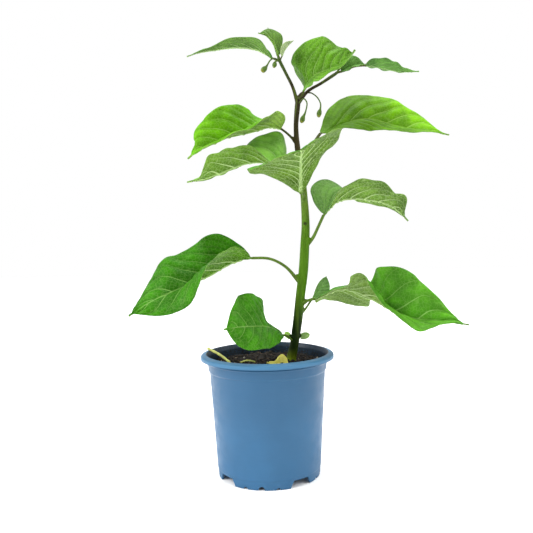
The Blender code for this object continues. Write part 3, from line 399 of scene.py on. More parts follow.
                 (0.0066, 0.009, 0.4009)),
         width=0.0018, belly=0.4, point=0.9, stalk_radius=0.0006, wave=0.0, waves=1.0,
         left=(30, 30, 30, 30, 30),
         right=(30, 30, 30, 30, 30)),
    Leaf("axil_leaf_right",
         stalk=((0.0315, 0.0022, 0.144), (0.0346, 0.004, 0.1466)),
         midrib=((0.0422, 0.0046, 0.1573), (0.0455, 0.0052, 0.161), (0.0487, 0.0056, 0.1654),
                 (0.052, 0.0058, 0.1708), (0.0552, 0.006, 0.1768)),
         width=0.0085, belly=0.6, point=0.7, stalk_radius=0.0009, drip=0.02, wave=0.0, waves=1.0,
         left_sweep=(0.1, 0.1), right_sweep=(0.3, 0.3),
         left_share=0.42,
         left=(82, 84, 86, 84, 80),
         right=(-84, -84, -80, -84, -86)),
    Leaf("base_sprout_right",
         stalk=((0.026, 0.002, 0.1205),),
         midrib=((0.0298, 0.0025, 0.1226), (0.0328, 0.003, 0.1231), (0.036, 0.004, 0.1236),
                 (0.0391, 0.005, 0.124)),
         width=0.0031, belly=0.5, point=0.4, stalk_radius=0.0007, drip=0.02, wave=0.0, waves=1.0,
         left=(72, 72, 72, 72, 72),
         right=(-70, -70, -70, -70, -70)),
    Leaf("base_sprout_left",
         stalk=((0.0245, 0.0035, 0.119),),
         midrib=((0.0215, 0.0058, 0.1208), (0.0192, 0.007, 0.1232), (0.0168, 0.0085, 0.1262)),
         width=0.0029, belly=0.5, point=0.4, stalk_radius=0.0006, drip=0.02, wave=0.0, waves=1.0,
         left_share=0.8,
         left=(-60, -60, -60, -60, -60),
         right=(68, 68, 68, 68, 68)),
    Leaf("fallen_leaf",
         stalk=((-0.0004, -0.0158, 0.1032),),
         midrib=((0.001, -0.016, 0.1029), (0.005, -0.0162, 0.1027), (0.01, -0.0166, 0.1026),
                 (0.0145, -0.0169, 0.1026), (0.0183, -0.017, 0.1029)),
         width=0.0078, belly=0.6, point=0.32, stalk_radius=0.0006, drip=0.02, wave=0.0003,
         waves=2.0, left_sweep=(0, 0),
         left_share=(0.5, 0.3, 0.3, 0.75, 1.0, 1.02, 1.0),
         right_share=0.3,
         left=(70, 72, 74, 76, 76, 74, 72),
         right=(-12, -12, -12, -12, -12)),
)

# Flower buds on bent stalks, and dry leaf stalks on the soil: centre line with the radius there
TUBES = {
    "flower_bud_left_outer": (
        ((0.016, -0.0006, 0.369), 0.0007), ((0.012, -0.0028, 0.3706), 0.0006),
        ((0.0085, -0.0036, 0.3692), 0.0006), ((0.0048, -0.004, 0.3637), 0.001),
        ((0.0037, -0.0043, 0.3622), 0.002), ((0.0021, -0.005, 0.3603), 0.0023),
        ((0.001, -0.0054, 0.359), 0.0016), ((0.0006, -0.0056, 0.3585), 0.0006)),
    "flower_bud_left_inner": (
        ((0.0172, -0.001, 0.3672), 0.0007), ((0.0147, -0.0034, 0.3685), 0.0006),
        ((0.0128, -0.0042, 0.3674), 0.0009), ((0.0121, -0.0044, 0.3658), 0.0017),
        ((0.0116, -0.0045, 0.364), 0.0019), ((0.0113, -0.0047, 0.3626), 0.0012),
        ((0.0112, -0.0048, 0.362), 0.0005)),
    "flower_bud_fork_left": (
        ((0.033, 0.0022, 0.3322), 0.0007), ((0.037, -0.0028, 0.335), 0.0006),
        ((0.0396, -0.0045, 0.331), 0.0006), ((0.0382, -0.005, 0.3232), 0.0007),
        ((0.0367, -0.0052, 0.3198), 0.0012), ((0.0357, -0.0052, 0.3178), 0.002),
        ((0.0351, -0.0052, 0.3158), 0.0021), ((0.0346, -0.0052, 0.314), 0.0012),
        ((0.0345, -0.0052, 0.3134), 0.0005)),
    "flower_bud_fork_right": (
        ((0.042, 0.006, 0.342), 0.0007), ((0.0445, 0.0025, 0.3408), 0.0006),
        ((0.0492, -0.001, 0.3361), 0.0006), ((0.0518, -0.003, 0.33), 0.0006),
        ((0.0513, -0.004, 0.3251), 0.001), ((0.0509, -0.004, 0.3236), 0.0018),
        ((0.0503, -0.004, 0.3212), 0.0021), ((0.0499, -0.004, 0.319), 0.0013),
        ((0.0498, -0.004, 0.3182), 0.0005)),
    "flower_bud_right_shoot": (
        ((0.0665, 0.0115, 0.36), 0.0007), ((0.0682, 0.0085, 0.361), 0.0006),
        ((0.0696, 0.0065, 0.3625), 0.0011), ((0.0706, 0.0055, 0.3638), 0.0015),
        ((0.0714, 0.0048, 0.365), 0.001), ((0.0717, 0.0046, 0.3655), 0.0005)),
    "dry_stalk_on_rim": (
        ((-0.055, 0.0134, 0.1119), 0.001), ((-0.043, 0.004, 0.1072), 0.001),
        ((-0.033, -0.006, 0.1016), 0.0008)),
    "dry_stalk_on_soil": (
        ((-0.0244, -0.009, 0.1024), 0.0006), ((-0.019, -0.0095, 0.1042), 0.0006),
        ((-0.0145, -0.009, 0.1038), 0.0006), ((-0.0108, -0.008, 0.1024), 0.0005)),
}


def hermite(f, low, high, slope_low, slope_high, step=1.0):
    """Smooth value at f, from 0 to 1, between two values with the given slopes."""
    return ((2 * f**3 - 3 * f**2 + 1) * low + (f**3 - 2 * f**2 + f) * step * slope_low
            + (3 * f**2 - 2 * f**3) * high + (f**3 - f**2) * step * slope_high)


def smooth_curve(points, count):
    """Points on a smooth curve through the given ones: count even ones, or one for each share in it."""
    knots = np.asarray(points, float)
    chords = np.linalg.norm(np.diff(knots[:, :3], axis=0), axis=1)
    knot_at = np.concatenate([[0.0], np.cumsum(np.sqrt(chords))])
    slopes = np.gradient(knots, knot_at, axis=0)
    s = np.linspace(0.0, 1.0, CURVE_STEPS, endpoint=False)[:, None]
    spans = [hermite(s, knots[i], knots[i + 1], slopes[i], slopes[i + 1], knot_at[i + 1] - knot_at[i])
             for i in range(len(knots) - 1)]
    fine = np.vstack(spans + [knots[-1:]])
    runs = np.linalg.norm(np.diff(fine[:, :3], axis=0), axis=1)
    along = np.concatenate([[0.0], np.cumsum(runs)])
    at = np.linspace(0.0, along[-1], count) if np.ndim(count) == 0 else np.asarray(count) * along[-1]
    return np.stack([np.interp(at, along, fine[:, k]) for k in range(fine.shape[1])], axis=1)


def at_stations(values, t):
    """The values of evenly spaced stations, read smoothly at t from 0 to 1."""
    values = np.asarray(values, float)
    place = np.clip(t, 0.0, 1.0) * (len(values) - 1)
    low = np.minimum(place.astype(int), len(values) - 2)
    slope = np.gradient(values)
    return hermite(place - low, values[low], values[low + 1], slope[low], slope[low + 1])


def share_at(share, t):
    """A half's share of the width: one number, or one for each of some even stations."""
    return at_stations(share, t) if np.ndim(share) else share


def half_width(t, leaf):
    """Width of one half at t along the blade: a rounded base, a belly and a drip tip."""
    base = leaf.point * leaf.belly / (1.0 - leaf.belly)
    widest = leaf.belly**base * (1.0 - leaf.belly)**leaf.point
    s = np.clip(t / (1.0 - leaf.drip), 1e-6, 1.0 - 1e-6)
    blade = leaf.width * s**base * (1.0 - s)**leaf.point / widest
    return blade + DRIP_SHARE * leaf.width * np.sqrt(1.0 - t)


def tangents(line):
    """Unit vectors along a line of points."""
    along = np.gradient(line, axis=0)
    return along / np.linalg.norm(along, axis=1)[:, None]


def square_to(side, along):
    """The vector made square to a unit vector, and given length 1."""
    side = side - (side @ along) * along
    return side / np.linalg.norm(side)


def ring_round(centre, along, side, turn, radius):
    """Points round a centre line; radius has one value for each turn away from side."""
    up = np.cross(along, side)
    return centre + radius[:, None] * (np.cos(turn)[:, None] * side + np.sin(turn)[:, None] * up)


def leaf_frames(line, heading):
    """Unit vectors along a leaf's line, to its left and up out of its upper side."""
    along = tangents(line)
    level_left = np.cross((0.0, 0.0, 1.0), (heading[0], heading[1], 0.0))
    level_left /= np.linalg.norm(level_left)
    left = level_left - (along @ level_left)[:, None] * along
    left /= np.linalg.norm(left, axis=1)[:, None]
    return along, left, np.cross(along, left)


def wander(points, scale, seed):
    """Smooth noise from -1 to 1 at each point of an array whose last axis is x, y, z."""
    flat = points.reshape(-1, 3) * scale + np.array((seed * 7.31, seed * 3.17, seed * 1.93))
    values = np.array([noise.noise(Vector(p)) for p in flat])
    return values.reshape(points.shape[:-1])


def smooth_step(low, high, value):
    """0 below low, 1 above high, and a smooth rise between them."""
    f = np.clip((value - low) / (high - low), 0.0, 1.0)
    return f * f * (3.0 - 2.0 * f)


def painted_blade_shade(shade_corners, ahead, part):
    """Painted light and shade on a half at part of its width, from its four corner gains; ahead is 1 at the
    tip.
    """
    beside_base, margin_base, beside_tip, margin_tip = shade_corners
    out = smooth_step(0.15, 0.60, part)
    return ((beside_base + (margin_base - beside_base) * out) * (1.0 - ahead)
            + (beside_tip + (margin_tip - beside_tip) * out) * ahead)


def blade_relief(grid, share, phase, scale, seed):
    """How far each point rises, and how much of a vein it is: veins, bulging fields, wandering."""
    beside = np.abs(phase - np.round(phase))
    fade = (1.0 - VEIN_FADE * share**2) * smooth_step(0.0, 0.5, phase)
    vein = np.exp(-(beside / VEIN_SPREAD)**2) * fade
    field = 0.5 - 0.5 * np.cos(2 * math.pi * np.minimum(beside, 0.5))
    bulge = field * (4.0 * share * (1.0 - share))**BULGE_FLATNESS * smooth_step(0.0, 0.6, phase)
    bulge *= 1.0 + BULGE_WANDER * wander(grid, 120.0, seed + 5)
    rise = scale * (FIELD_BULGE * bulge - VEIN_DEPTH * vein)
    rise += SURFACE_WANDER * scale * wander(grid, 45.0, seed + 9) * share
    rise += MARGIN_CRINKLE * scale**2 * wander(grid, 140.0, seed + 13) * share**3
    return rise, vein * scale


def fine_blade(leaf, seed):
    """Fine middle surface of a blade with its veins, and where each point lies on the blade."""
    small = leaf.width < SMALL_LEAF_WIDTH
    rows = SMALL_BLADE_ROWS if small else BLADE_ROWS
    half_columns = SMALL_HALF_COLUMNS if small else HALF_COLUMNS
    even = np.linspace(0.0, 1.0, rows)
    crowded = 0.5 - 0.5 * np.cos(np.linspace(0.0, math.pi, rows))
    t = ROW_CROWDING * crowded + (1.0 - ROW_CROWDING) * even
    line = smooth_curve(leaf.midrib, t)
    along, left, up = leaf_frames(line, line[-1] - line[0])
    parts = np.linspace(0.0, 1.0, half_columns + 1)[1:]**COLUMN_CROWDING
    columns = 2 * half_columns + 1
    grid = np.zeros((rows, columns, 3))
    share, reach, phase = np.zeros((3, rows, columns))
    tone = np.ones((rows, columns))
    grid[:, half_columns] = line
    phase[:, half_columns] = VEIN_PAIRS * t**VEIN_CROWDING
    # Painted light and shade of this blade's two halves
    left_painted_shade, right_painted_shade = LEAF_PAINTED_SHADE.get(leaf.name, (NO_PAINTED_SHADE, NO_PAINTED_SHADE))
    ahead = smooth_step(0.30, 0.70, t)
    halves = ((1, leaf.left, leaf.left_share, leaf.left_sweep, left_painted_shade),
              (-1, leaf.right, leaf.right_share, leaf.right_sweep, right_painted_shade))
    for sign, angles, narrowing, sweep, shade_corners in halves:
        angle = np.radians(at_stations(angles, t))
        outward = np.cos(angle)[:, None] * sign * left + np.sin(angle)[:, None] * up
        normal = np.cos(angle)[:, None] * up - np.sin(angle)[:, None] * sign * left
        width = np.maximum(half_width(t, leaf) * share_at(narrowing, t), TIP_HALF_WIDTH)
        ripple = leaf.wave * np.sin(2 * math.pi * leaf.waves * t) * width / leaf.width
        for i, part in enumerate(parts):
            column = half_columns - sign * (i + 1)
            back = at_stations(sweep, t) * width * part**2
            crown = CROWN * width * 4.0 * part * (1.0 - part)
            grid[:, column] = (line + (width * part)[:, None] * outward
                               + (ripple * part**2 + crown)[:, None] * normal - back[:, None] * along)
            share[:, column] = part
            reach[:, column] = width * part
            # tone is painted light and shade: 1 where nothing is painted
            tone[:, column] = painted_blade_shade(shade_corners, ahead, part)
            lean = (VEIN_LEAN * part + VEIN_CURVE * part**2) * (1.0 - TIP_UPRIGHT * t)
            phase[:, column] = VEIN_PAIRS * np.sign(t - lean) * np.abs(t - lean)**VEIN_CROWDING
            phase[:, column] += ALTERNATION if sign < 0 else 0.0
    phase += VEIN_WANDER * wander(grid, 22.0, seed)
    rise, vein = blade_relief(grid, share, phase, min(1.0, leaf.width / LEAF_SCALE), seed)
    grid = grid + rise[:, :, None] * grid_normals(grid)
    return t, grid, grid_normals(grid), share, reach, phase, vein, tone


def grid_normals(grid):
    """Unit normals of a blade's middle surface, on its upper side."""
    across = np.gradient(grid, axis=1)
    along = np.gradient(grid, axis=0)
    normals = np.cross(across, along)
    return normals / np.maximum(np.linalg.norm(normals, axis=2), 1e-12)[:, :, None]


def stalk_rings(leaf, upper, count):
    """Rings of the stalk: swollen at its foot, grooved above, and drawn out to the blade's first row."""
    line = smooth_curve([*leaf.stalk, leaf.midrib[0]], STALK_ROWS + 1)
    along = tangents(line)
    lean = math.asin(min(0.9, BLADE_HALF_THICKNESS / leaf.stalk_radius))
    turn = np.linspace(lean, math.pi - lean, count)
    turn = np.concatenate([turn, turn + math.pi])
    dip = STALK_GROOVE * np.exp(-((turn - math.pi / 2) / GROOVE_SPREAD)**2)
    rings = []
    for k in range(STALK_ROWS):
        f = k / STALK_ROWS
        radius = leaf.stalk_radius * (1.0 + FOOT_SWELLING * (1.0 - f)**4)
        radius = radius * (1.0 - dip * smooth_step(0.05, 0.3, f))
        rings.append(ring_round(line[k], along[k], square_to(upper[0] - upper[-1], along[k]), turn, radius))
    return rings


def loft(rings):
    """Points and faces of a closed skin through rings of equal length, with a point at each end."""
    around = len(rings[0])
    last = (len(rings) - 1) * around
    faces = []
    for a in range(last):
        b = a + 1 if (a + 1) % around else a + 1 - around
        faces.append((a, b, b + around, a + around))
    points = np.vstack([*rings, rings[0].mean(axis=0)[None], rings[-1].mean(axis=0)[None]])
    for tip, first in ((len(points) - 2, 0), (len(points) - 1, last)):
        faces += [(tip, first + (i + 1) % around, first + i) for i in range(around)]
    return points, faces


def join_body(body, points, faces):
    """Adds a body's points and faces to the lists of a mesh made of several."""
    more, skin = body
    faces += [tuple(len(points) + i for i in face) for face in skin]
    points += [tuple(p) for p in more]


def add_object(name, data, place):
    item = bpy.data.objects.new(name, data)
    item.location = place
    bpy.context.scene.collection.objects.link(item)
    return item


def add_mesh(name, points, faces, materials, attributes=None):
    """A smooth mesh standing on the pot's axis; attributes are numbers by point."""
    mesh = bpy.data.meshes.new(name)
    mesh.from_pydata([tuple(map(float, p)) for p in points], [], faces)
    for material in materials:
        mesh.materials.append(material)
    for key, values in (attributes or {}).items():
        store = mesh.attributes.new(key, "FLOAT", "POINT")
        store.data.foreach_set("value", np.asarray(values, np.float32))
    shape = bmesh.new()
    shape.from_mesh(mesh)
    bmesh.ops.recalc_face_normals(shape, faces=shape.faces)
    shape.to_mesh(mesh)
    shape.free()
    mesh.shade_smooth()
    return add_object(name, mesh, POT_AXIS)


def with_modifiers(item):
    """A new mesh of what the item's modifiers make of it."""
    graph = bpy.context.evaluated_depsgraph_get()
    return bpy.data.meshes.new_from_object(item.evaluated_get(graph))


def settle(item, slot, *nodes):
    """The piece rides on the plant and stands for its CAD nodes."""
    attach(item, "root")
    if nodes:
        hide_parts(*nodes)
    return item


def make_leaf(leaf, materials, seed, slot):
    """Stalk and blade as one closed skin, the midrib grooved above and a keel below."""
    t, grid, normals, share, reach, phase, vein, tone = fine_blade(leaf, seed)
    rows, count = share.shape
    rib = (leaf.stalk_radius * (1.0 - RIB_TAPER * t))[:, None]
    thin = BLADE_HALF_THICKNESS * (1.0 - MARGIN_THINNING * share**4)
    groove = RIB_GROOVE * rib * np.exp(-(reach / (0.9 * rib))**2)
    keel = RIB_KEEL * rib * np.exp(-(reach / (0.80 * rib))**2) + VEIN_KEEL * vein
    upper = grid + (thin - groove)[:, :, None] * normals
    lower = grid - (thin + keel)[:, :, None] * normals
    rings = stalk_rings(leaf, upper[0], count)
    stalk = len(rings)
    rings += [np.vstack([upper[k], lower[k][::-1]]) for k in range(rows)]
    points, faces = loft(rings)
    attributes = {"along": np.concatenate([
        np.repeat(np.linspace(-1.0, 0.0, stalk, endpoint=False), 2 * count),
        np.repeat(t, 2 * count), (-1.0, 1.0)])}
    # The tone attribute carries each blade's painted light and shade to its material
    for key, values, elsewhere in (("share", share, 0.0), ("phase", phase, 0.0), ("tone", tone, 1.0)):
        both_sides = np.concatenate([values, values[:, ::-1]], axis=1).ravel()
        attributes[key] = np.concatenate([np.full(stalk * 2 * count, elsewhere), both_sides,
                                          np.full(2, elsewhere)])
    item = add_mesh(leaf.name + "_look", points, faces, materials, attributes)
    side = np.zeros(len(item.data.polygons), np.int32)
    for k in range(stalk, stalk + rows - 1):
        side[k * 2 * count:k * 2 * count + count - 1] = 1
    item.data.polygons.foreach_set("material_index", side)
    return settle(item, slot, leaf.name)


def tube(path, steps, sides, shape=None):
    """Rings of a tube along a path of (point, radius); shape gives a gain for each turn."""
    line = smooth_curve([(*point, radius) for point, radius in path], steps)
    centre = line[:, :3]
    along = tangents(centre)
    side = np.cross(along[0], TUBE_START)
    turn = np.linspace(0.0, 2 * math.pi, sides, endpoint=False)
    rings = []
    for k, at in enumerate(np.linspace(0.0, 1.0, steps)):
        side = square_to(side, along[k])
        radius = line[k, 3] * (shape(at, turn) if shape else np.ones(sides))
        rings.append(ring_round(centre[k], along[k], side, turn, radius))
    return rings


class Nodes:
    """A material's node tree, built by short calls."""

    def __init__(self, name, roughness, **sockets):
        self.material = bpy.data.materials.new(name)
        self.material.use_nodes = True
        self.tree = self.material.node_tree
        self.shader = self.tree.nodes["Principled BSDF"]
        self.shader.inputs["Roughness"].default_value = roughness
        for key, value in sockets.items():
            self.shader.inputs[key.replace("_", " ")].default_value = value
        self.place = self.new("ShaderNodeTexCoord").outputs["Object"]

    def new(self, kind, inputs=None, **settings):
        """A node with its settings, and with values or links on its inputs."""
        node = self.tree.nodes.new(kind)
        for key, value in settings.items():
            setattr(node, key, value)
        for key, value in (inputs or {}).items():
            self.plug(value, node.inputs[key])
        return node

    def plug(self, value, socket):
        if isinstance(value, bpy.types.NodeSocket):
            self.tree.links.new(value, socket)
        else:
            socket.default_value = value

    def maths(self, operation, a, b=0.0):
        return self.new("ShaderNodeMath", {0: a, 1: b}, operation=operation).outputs[0]

    def times(self, a, b):
        return self.maths("MULTIPLY", a, b)

    def plus(self, a, b):
        return self.maths("ADD", a, b)

    def minus(self, a, b):
        return self.maths("SUBTRACT", a, b)

    def attribute(self, name):
        return self.new("ShaderNodeAttribute", attribute_name=name).outputs["Fac"]

    def noise(self, scale, detail=3.0, rough=0.55, stretch=None):
        place = self.place
        if stretch:
            place = self.new("ShaderNodeMapping", {"Scale": stretch, "Vector": place}).outputs["Vector"]
        return self.new("ShaderNodeTexNoise", {"Scale": scale, "Detail": detail, "Roughness": rough,
                                               "Vector": place}).outputs["Fac"]

    def net(self, scale, wide):
        """1 on the borders between cells, and 0 further in."""
        cells = self.new("ShaderNodeTexVoronoi", {"Scale": scale, "Vector": self.place},
                         feature="DISTANCE_TO_EDGE")
        return self.minus(1.0, self.span(cells.outputs["Distance"], 0.02, wide))

    def span(self, value, low, high, out_low=0.0, out_high=1.0):
        """out_low where the value is below low, out_high above high, and a smooth change between."""
        inputs = {"Value": value, "From Min": low, "From Max": high, "To Min": out_low, "To Max": out_high}
        return self.new("ShaderNodeMapRange", inputs, interpolation_type="SMOOTHSTEP").outputs["Result"]

    def mix(self, factor, a, b, kind="MIX"):
        inputs = {"Factor": factor, 6: a, 7: b}
        return self.new("ShaderNodeMix", inputs, data_type="RGBA", blend_type=kind).outputs[2]

    def part(self, axis):
        """One coordinate of the place on the object, by its letter."""
        return self.new("ShaderNodeSeparateXYZ", {0: self.place}).outputs[axis]

    def bump(self, height, strength, distance):
        inputs = {"Strength": strength, "Distance": distance, "Height": height}
        self.plug(self.new("ShaderNodeBump", inputs).outputs["Normal"], self.shader.inputs["Normal"])

    def finish(self, colour, roughness=None):
        self.plug(colour, self.shader.inputs["Base Color"])
        if roughness is not None:
            self.plug(roughness, self.shader.inputs["Roughness"])
        return self.material


def tissue(weight, radius, scale=0.0006):
    """Shader settings of plant tissue, which light enters a little."""
    return {"Subsurface_Weight": weight, "Subsurface_Radius": radius, "Subsurface_Scale": scale}


def srgb(red, green, blue, gain=1.0):
    """Linear colour, with alpha, of 0 to 255 screen values."""
    values = []
    for value in (red, green, blue):
        c = value / 255.0
        c = c / 12.92 if c <= 0.04045 else ((c + 0.055) / 1.055)**2.4
        values.append(min(1.0, c * gain))
    return (*values, 1.0)


def seen(red, green, blue):
    """The surface colour that these lights show as the given 0 to 255 screen values."""
    return srgb(red, green, blue, SEEN_GAIN)


def scaled(colour, gain, warm=0.0):
    """A colour made lighter or darker, and a little yellower."""
    r, g, b, a = colour
    return (min(1.0, r * gain * (1 + warm)), min(1.0, g * gain), b * gain * (1 - warm), a)


# Screen colours of each leaf: upper side, underside. A script outside this one scaled them by
# the mean colours of each leaf's visible sides in the photograph and in the render
LEAF_COLOURS = {
    "leaf_lower_left": ((39, 98, 2), (68, 115, 19)),
    "leaf_lower_right": ((69, 130, 26), (91, 122, 50)),
    "leaf_low_front": ((47, 109, 6), (80, 118, 38)),
    "leaf_upper_right": ((84, 136, 2), (88, 124, 42)),
    "leaf_top_left": ((60, 118, 20), (84, 119, 53)),
    "leaf_upper_left": ((78, 136, 2), (131, 165, 71)),
    "leaf_middle_left": ((106, 156, 61), (93, 132, 41)),
    "leaf_middle_right": ((83, 122, 57), (91, 125, 48)),
    "leaf_top_dome": ((67, 111, 18), (88, 122, 44)),
    "leaf_front_centre": ((60, 116, 22), (77, 110, 32)),
    "leaf_far_right": ((60, 118, 22), (93, 138, 67)),
    "leaf_right_shoot": ((79, 122, 50), (80, 116, 40)),
    "young_leaf_left": ((83, 117, 49), (92, 128, 46)),
    "young_leaf_right": ((72, 120, 30), (162, 180, 133)),
    "young_leaf_spike": ((80, 128, 34), (100, 138, 50)),
    "axil_leaf_right": ((107, 149, 82), (92, 128, 46)),
    "base_sprout_right": ((128, 163, 95), (100, 136, 60)),
    "base_sprout_left": ((170, 221, 102), (92, 128, 46)),
}
# Painted light and shade on a blade, its left half first: gains beside the midrib and at the margin near
# the base, then the same two near the tip. They darken or lighten halves as the light falls on them
NO_PAINTED_SHADE = (1.0, 1.0, 1.0, 1.0)
LEAF_PAINTED_SHADE = {
    "leaf_lower_right": ((1.10, 1.00, 1.45, 1.00), (1.00, 1.00, 0.95, 0.78)),
    "leaf_upper_right": ((0.64, 0.58, 1.12, 1.14), (0.54, 0.50, 0.95, 0.88)),
}
STALK_GREEN = (118, 152, 62)
YOUNG_STALK = (104, 112, 62)
PALE_VEIN = (186, 208, 150)


def leaf_material(name, screen, under, stalk, scale):
    """Blade surface: mottled green with painted shade beside the veins, paler veins and midrib, a fine
    net between them, and painted light and shade from the tone attribute.

    scale is 1 for a full-grown leaf and less for a small one, whose veins stand out less.
    """
    look = Nodes(name, 0.55 if under else 0.42, Specular_IOR_Level=0.05 if under else 0.04,
                 **tissue(0.12, (0.6, 1.0, 0.2)))
    base = srgb(*screen)
    share = look.attribute("share")
    phase = look.attribute("phase")
    along = look.attribute("along")
    near = look.maths("ABSOLUTE", look.minus(look.maths("FRACT", look.plus(phase, 0.5)), 0.5))
    width = look.span(share, 0.0, 1.0, 0.075 if under else 0.055, 0.020)
    line = look.minus(1.0, look.span(look.maths("DIVIDE", near, width), 0.25, 1.0))
    line = look.times(line, look.span(share, 0.2, 1.0, 1.0, 0.35))
    line = look.times(line, look.span(phase, 0.15, 0.45))
    middle = look.minus(1.0, look.span(share, 0.010, 0.038))
    net = look.maths("MAXIMUM", look.net(330.0, 0.09), look.times(look.net(900.0, 0.12), 0.12))
    mottled = look.mix(look.span(look.noise(55.0, 4.0), 0.32, 0.68), scaled(base, 0.66, -0.03),
                       scaled(base, 1.26, 0.05))
    mottled = look.mix(look.span(look.noise(620.0, 2.0), 0.3, 0.7, 0.0, 0.16), mottled,
                       scaled(base, 0.72))
    # Painted shade: the blade darkens in a band beside each vein
    mottled = look.mix(look.span(near, 0.05, 0.32, 0.45, 0.0), mottled,
                       scaled(base, 0.52 if under else 0.62))
    pale = srgb(*[c + (p - c) * (0.72 if under else 0.50) for c, p in zip(screen, PALE_VEIN)])
    colour = look.mix(look.times(net, (0.32 if under else 0.22) * scale**2), mottled, pale)
    colour = look.mix(look.times(line, (0.90 if under else 0.62) * scale), colour, pale)
    colour = look.mix(look.times(middle, 0.70), colour, pale)
    colour = look.mix(look.span(share, 0.975, 1.0, 0.0, 0.12), colour, pale)
    # Painted light and shade: the tone attribute darkens or lightens the blade
    colour = look.mix(1.0, colour, look.attribute("tone"), "MULTIPLY")
    stem = look.mix(look.span(look.noise(240.0, 3.0, stretch=(1.0, 1.0, 0.35)), 0.3, 0.7),
                    scaled(stalk, 0.82), scaled(stalk, 1.12))
    colour = look.mix(look.span(along, -0.03, 0.02, 1.0, 0.0), colour, stem)
    veins = look.times(look.maths("MAXIMUM", net, line), 0.5 if under else -0.5)
    look.bump(look.plus(veins, look.times(look.noise(1500.0, 2.0), 0.3)), 0.4 * scale, 0.0004)
    rough = (0.50, 0.66) if under else (0.36, 0.52)
    return look.finish(colour, look.span(look.noise(180.0, 3.0), 0.3, 0.7, *rough))


def make_leaves():
    for seed, leaf in enumerate(LEAVES):
        if leaf.name == "fallen_leaf":
            dry = withered_material("fallen_leaf_look", (255, 250, 120))
            make_leaf(leaf, [dry, dry], seed, "withered")
            continue
        upper, lower = LEAF_COLOURS[leaf.name]
        stalk = seen(*(YOUNG_STALK if leaf.midrib[0][2] > SHOOT_HEIGHT else STALK_GREEN))
        scale = min(1.0, leaf.width / VEINED_WIDTH)
        looks = [leaf_material(leaf.name + "_underside", lower, True, stalk, scale),
                 leaf_material(leaf.name + "_upper_side", upper, False, stalk, scale)]
        make_leaf(leaf, looks, seed, "young_leaf" if leaf.width < YOUNG_WIDTH else "leaf")


def withered_material(name, screen):
    """Dry plant matter: yellow, and blotched with brown."""
    look = Nodes(name, 0.62, **tissue(0.2, (1.0, 0.8, 0.3)))
    base = scaled(seen(*screen), 1.35)
    colour = look.mix(look.span(look.noise(260.0, 4.0), 0.35, 0.65), scaled(base, 0.78, 0.06),
                      scaled(base, 1.10))
    colour = look.mix(look.span(look.noise(900.0, 3.0), 0.62, 0.74, 0.0, 0.5), colour,
                      seen(140, 112, 50))
    look.bump(look.noise(1400.0, 3.0), 0.5, 0.0003)
    return look.finish(colour, look.span(look.noise(500.0), 0.3, 0.7, 0.5, 0.75))


def stem_material():
    """Green and brown bark in zones up the stem, with long streaks, light stripes, specks and scars, and
    painted light on its foot.
    """
    look = Nodes("stem_skin", 0.45, Specular_IOR_Level=0.07, **tissue(0.10, (0.8, 1.0, 0.3), 0.0008))
    height = look.plus(look.part("Z"), look.times(look.noise(60.0, 2.0), 0.016))
    # Painted light: the stem starts from its lightened foot colour
    colour = seen(*STEM_FOOT_PAINTED_LIGHT)
    for low, high, tone in STEM_ZONES:
        colour = look.mix(look.span(height, low, high), colour, seen(*tone))
    grain = look.noise(420.0, 3.0, stretch=(1.0, 1.0, 0.06))
    colour = look.mix(look.times(look.span(grain, 0.35, 0.65), 0.34), colour, seen(34, 48, 6))
    light = look.span(look.noise(300.0, 2.0, stretch=(1.0, 1.0, 0.04)), 0.52, 0.72, 0.0, 0.45)
    colour = look.mix(look.times(light, look.span(height, 0.120, 0.160, 0.3, 1.0)), colour,
                      seen(130, 166, 50))
    specks = look.span(look.noise(1300.0, 2.0), 0.62, 0.72, 0.0, 0.35)
    colour = look.mix(specks, colour, seen(44, 50, 24))
    for place, reach in SCARS:
        apart = look.new("ShaderNodeVectorMath", {0: look.place, 1: place}, operation="DISTANCE")
        colour = look.mix(look.span(apart.outputs["Value"], reach * 0.4, reach, 0.85, 0.0), colour,
                          seen(42, 38, 22))
    look.bump(look.plus(grain, look.times(look.noise(1500.0, 2.0), 0.4)), 0.5, 0.0005)
    return look.finish(colour, look.span(look.noise(200.0), 0.3, 0.7, 0.36, 0.56))


def bud_material():
    """Green bud with a darker stalk and a yellow tip."""
    look = Nodes("bud_skin", 0.42, Specular_IOR_Level=0.16, **tissue(0.2, (0.8, 1.0, 0.3)))
    along = look.attribute("along")
    colour = seen(92, 108, 44)
    for low, high, tone in BUD_ZONES:
        colour = look.mix(look.span(along, low, high), colour, seen(*tone))
    colour = look.mix(look.span(look.noise(900.0, 3.0), 0.4, 0.7, 0.0, 0.4), colour, seen(66, 84, 38))
    look.bump(look.noise(1400.0, 2.0), 0.4, 0.0003)
    return look.finish(colour)


def collar(leaf, spine):
    """Path of the swelling where a leaf's stalk leaves the stem."""
    foot = np.array(leaf.stalk[0])
    ahead = np.array((*leaf.stalk, leaf.midrib[0])[1])
    heart = spine[np.argmin(np.linalg.norm(spine - foot, axis=1))]
    way = (ahead - foot) / np.linalg.norm(ahead - foot)
    reach = COLLAR_REACH + 2.2 * leaf.stalk_radius
    wide = leaf.stalk_radius * 1.9
    return ((heart + way * 0.0002 - (0, 0, 0.001), wide), (heart + way * reach * 0.75, wide),
            (heart + way * reach * 1.25, leaf.stalk_radius * 1.35),
            (heart + way * reach * 1.5, leaf.stalk_radius * 1.05))


def scar(place, spine):
    """Path of the stub that a fallen leaf left on the stem."""
    heart = spine[np.argmin(np.linalg.norm(spine - place, axis=1))]
    way = (np.array(place) - heart) / np.linalg.norm(np.array(place) - heart)
    return (heart, 0.0026), (heart + way * 0.0036, 0.0021), (heart + way * 0.0044, 0.0014)


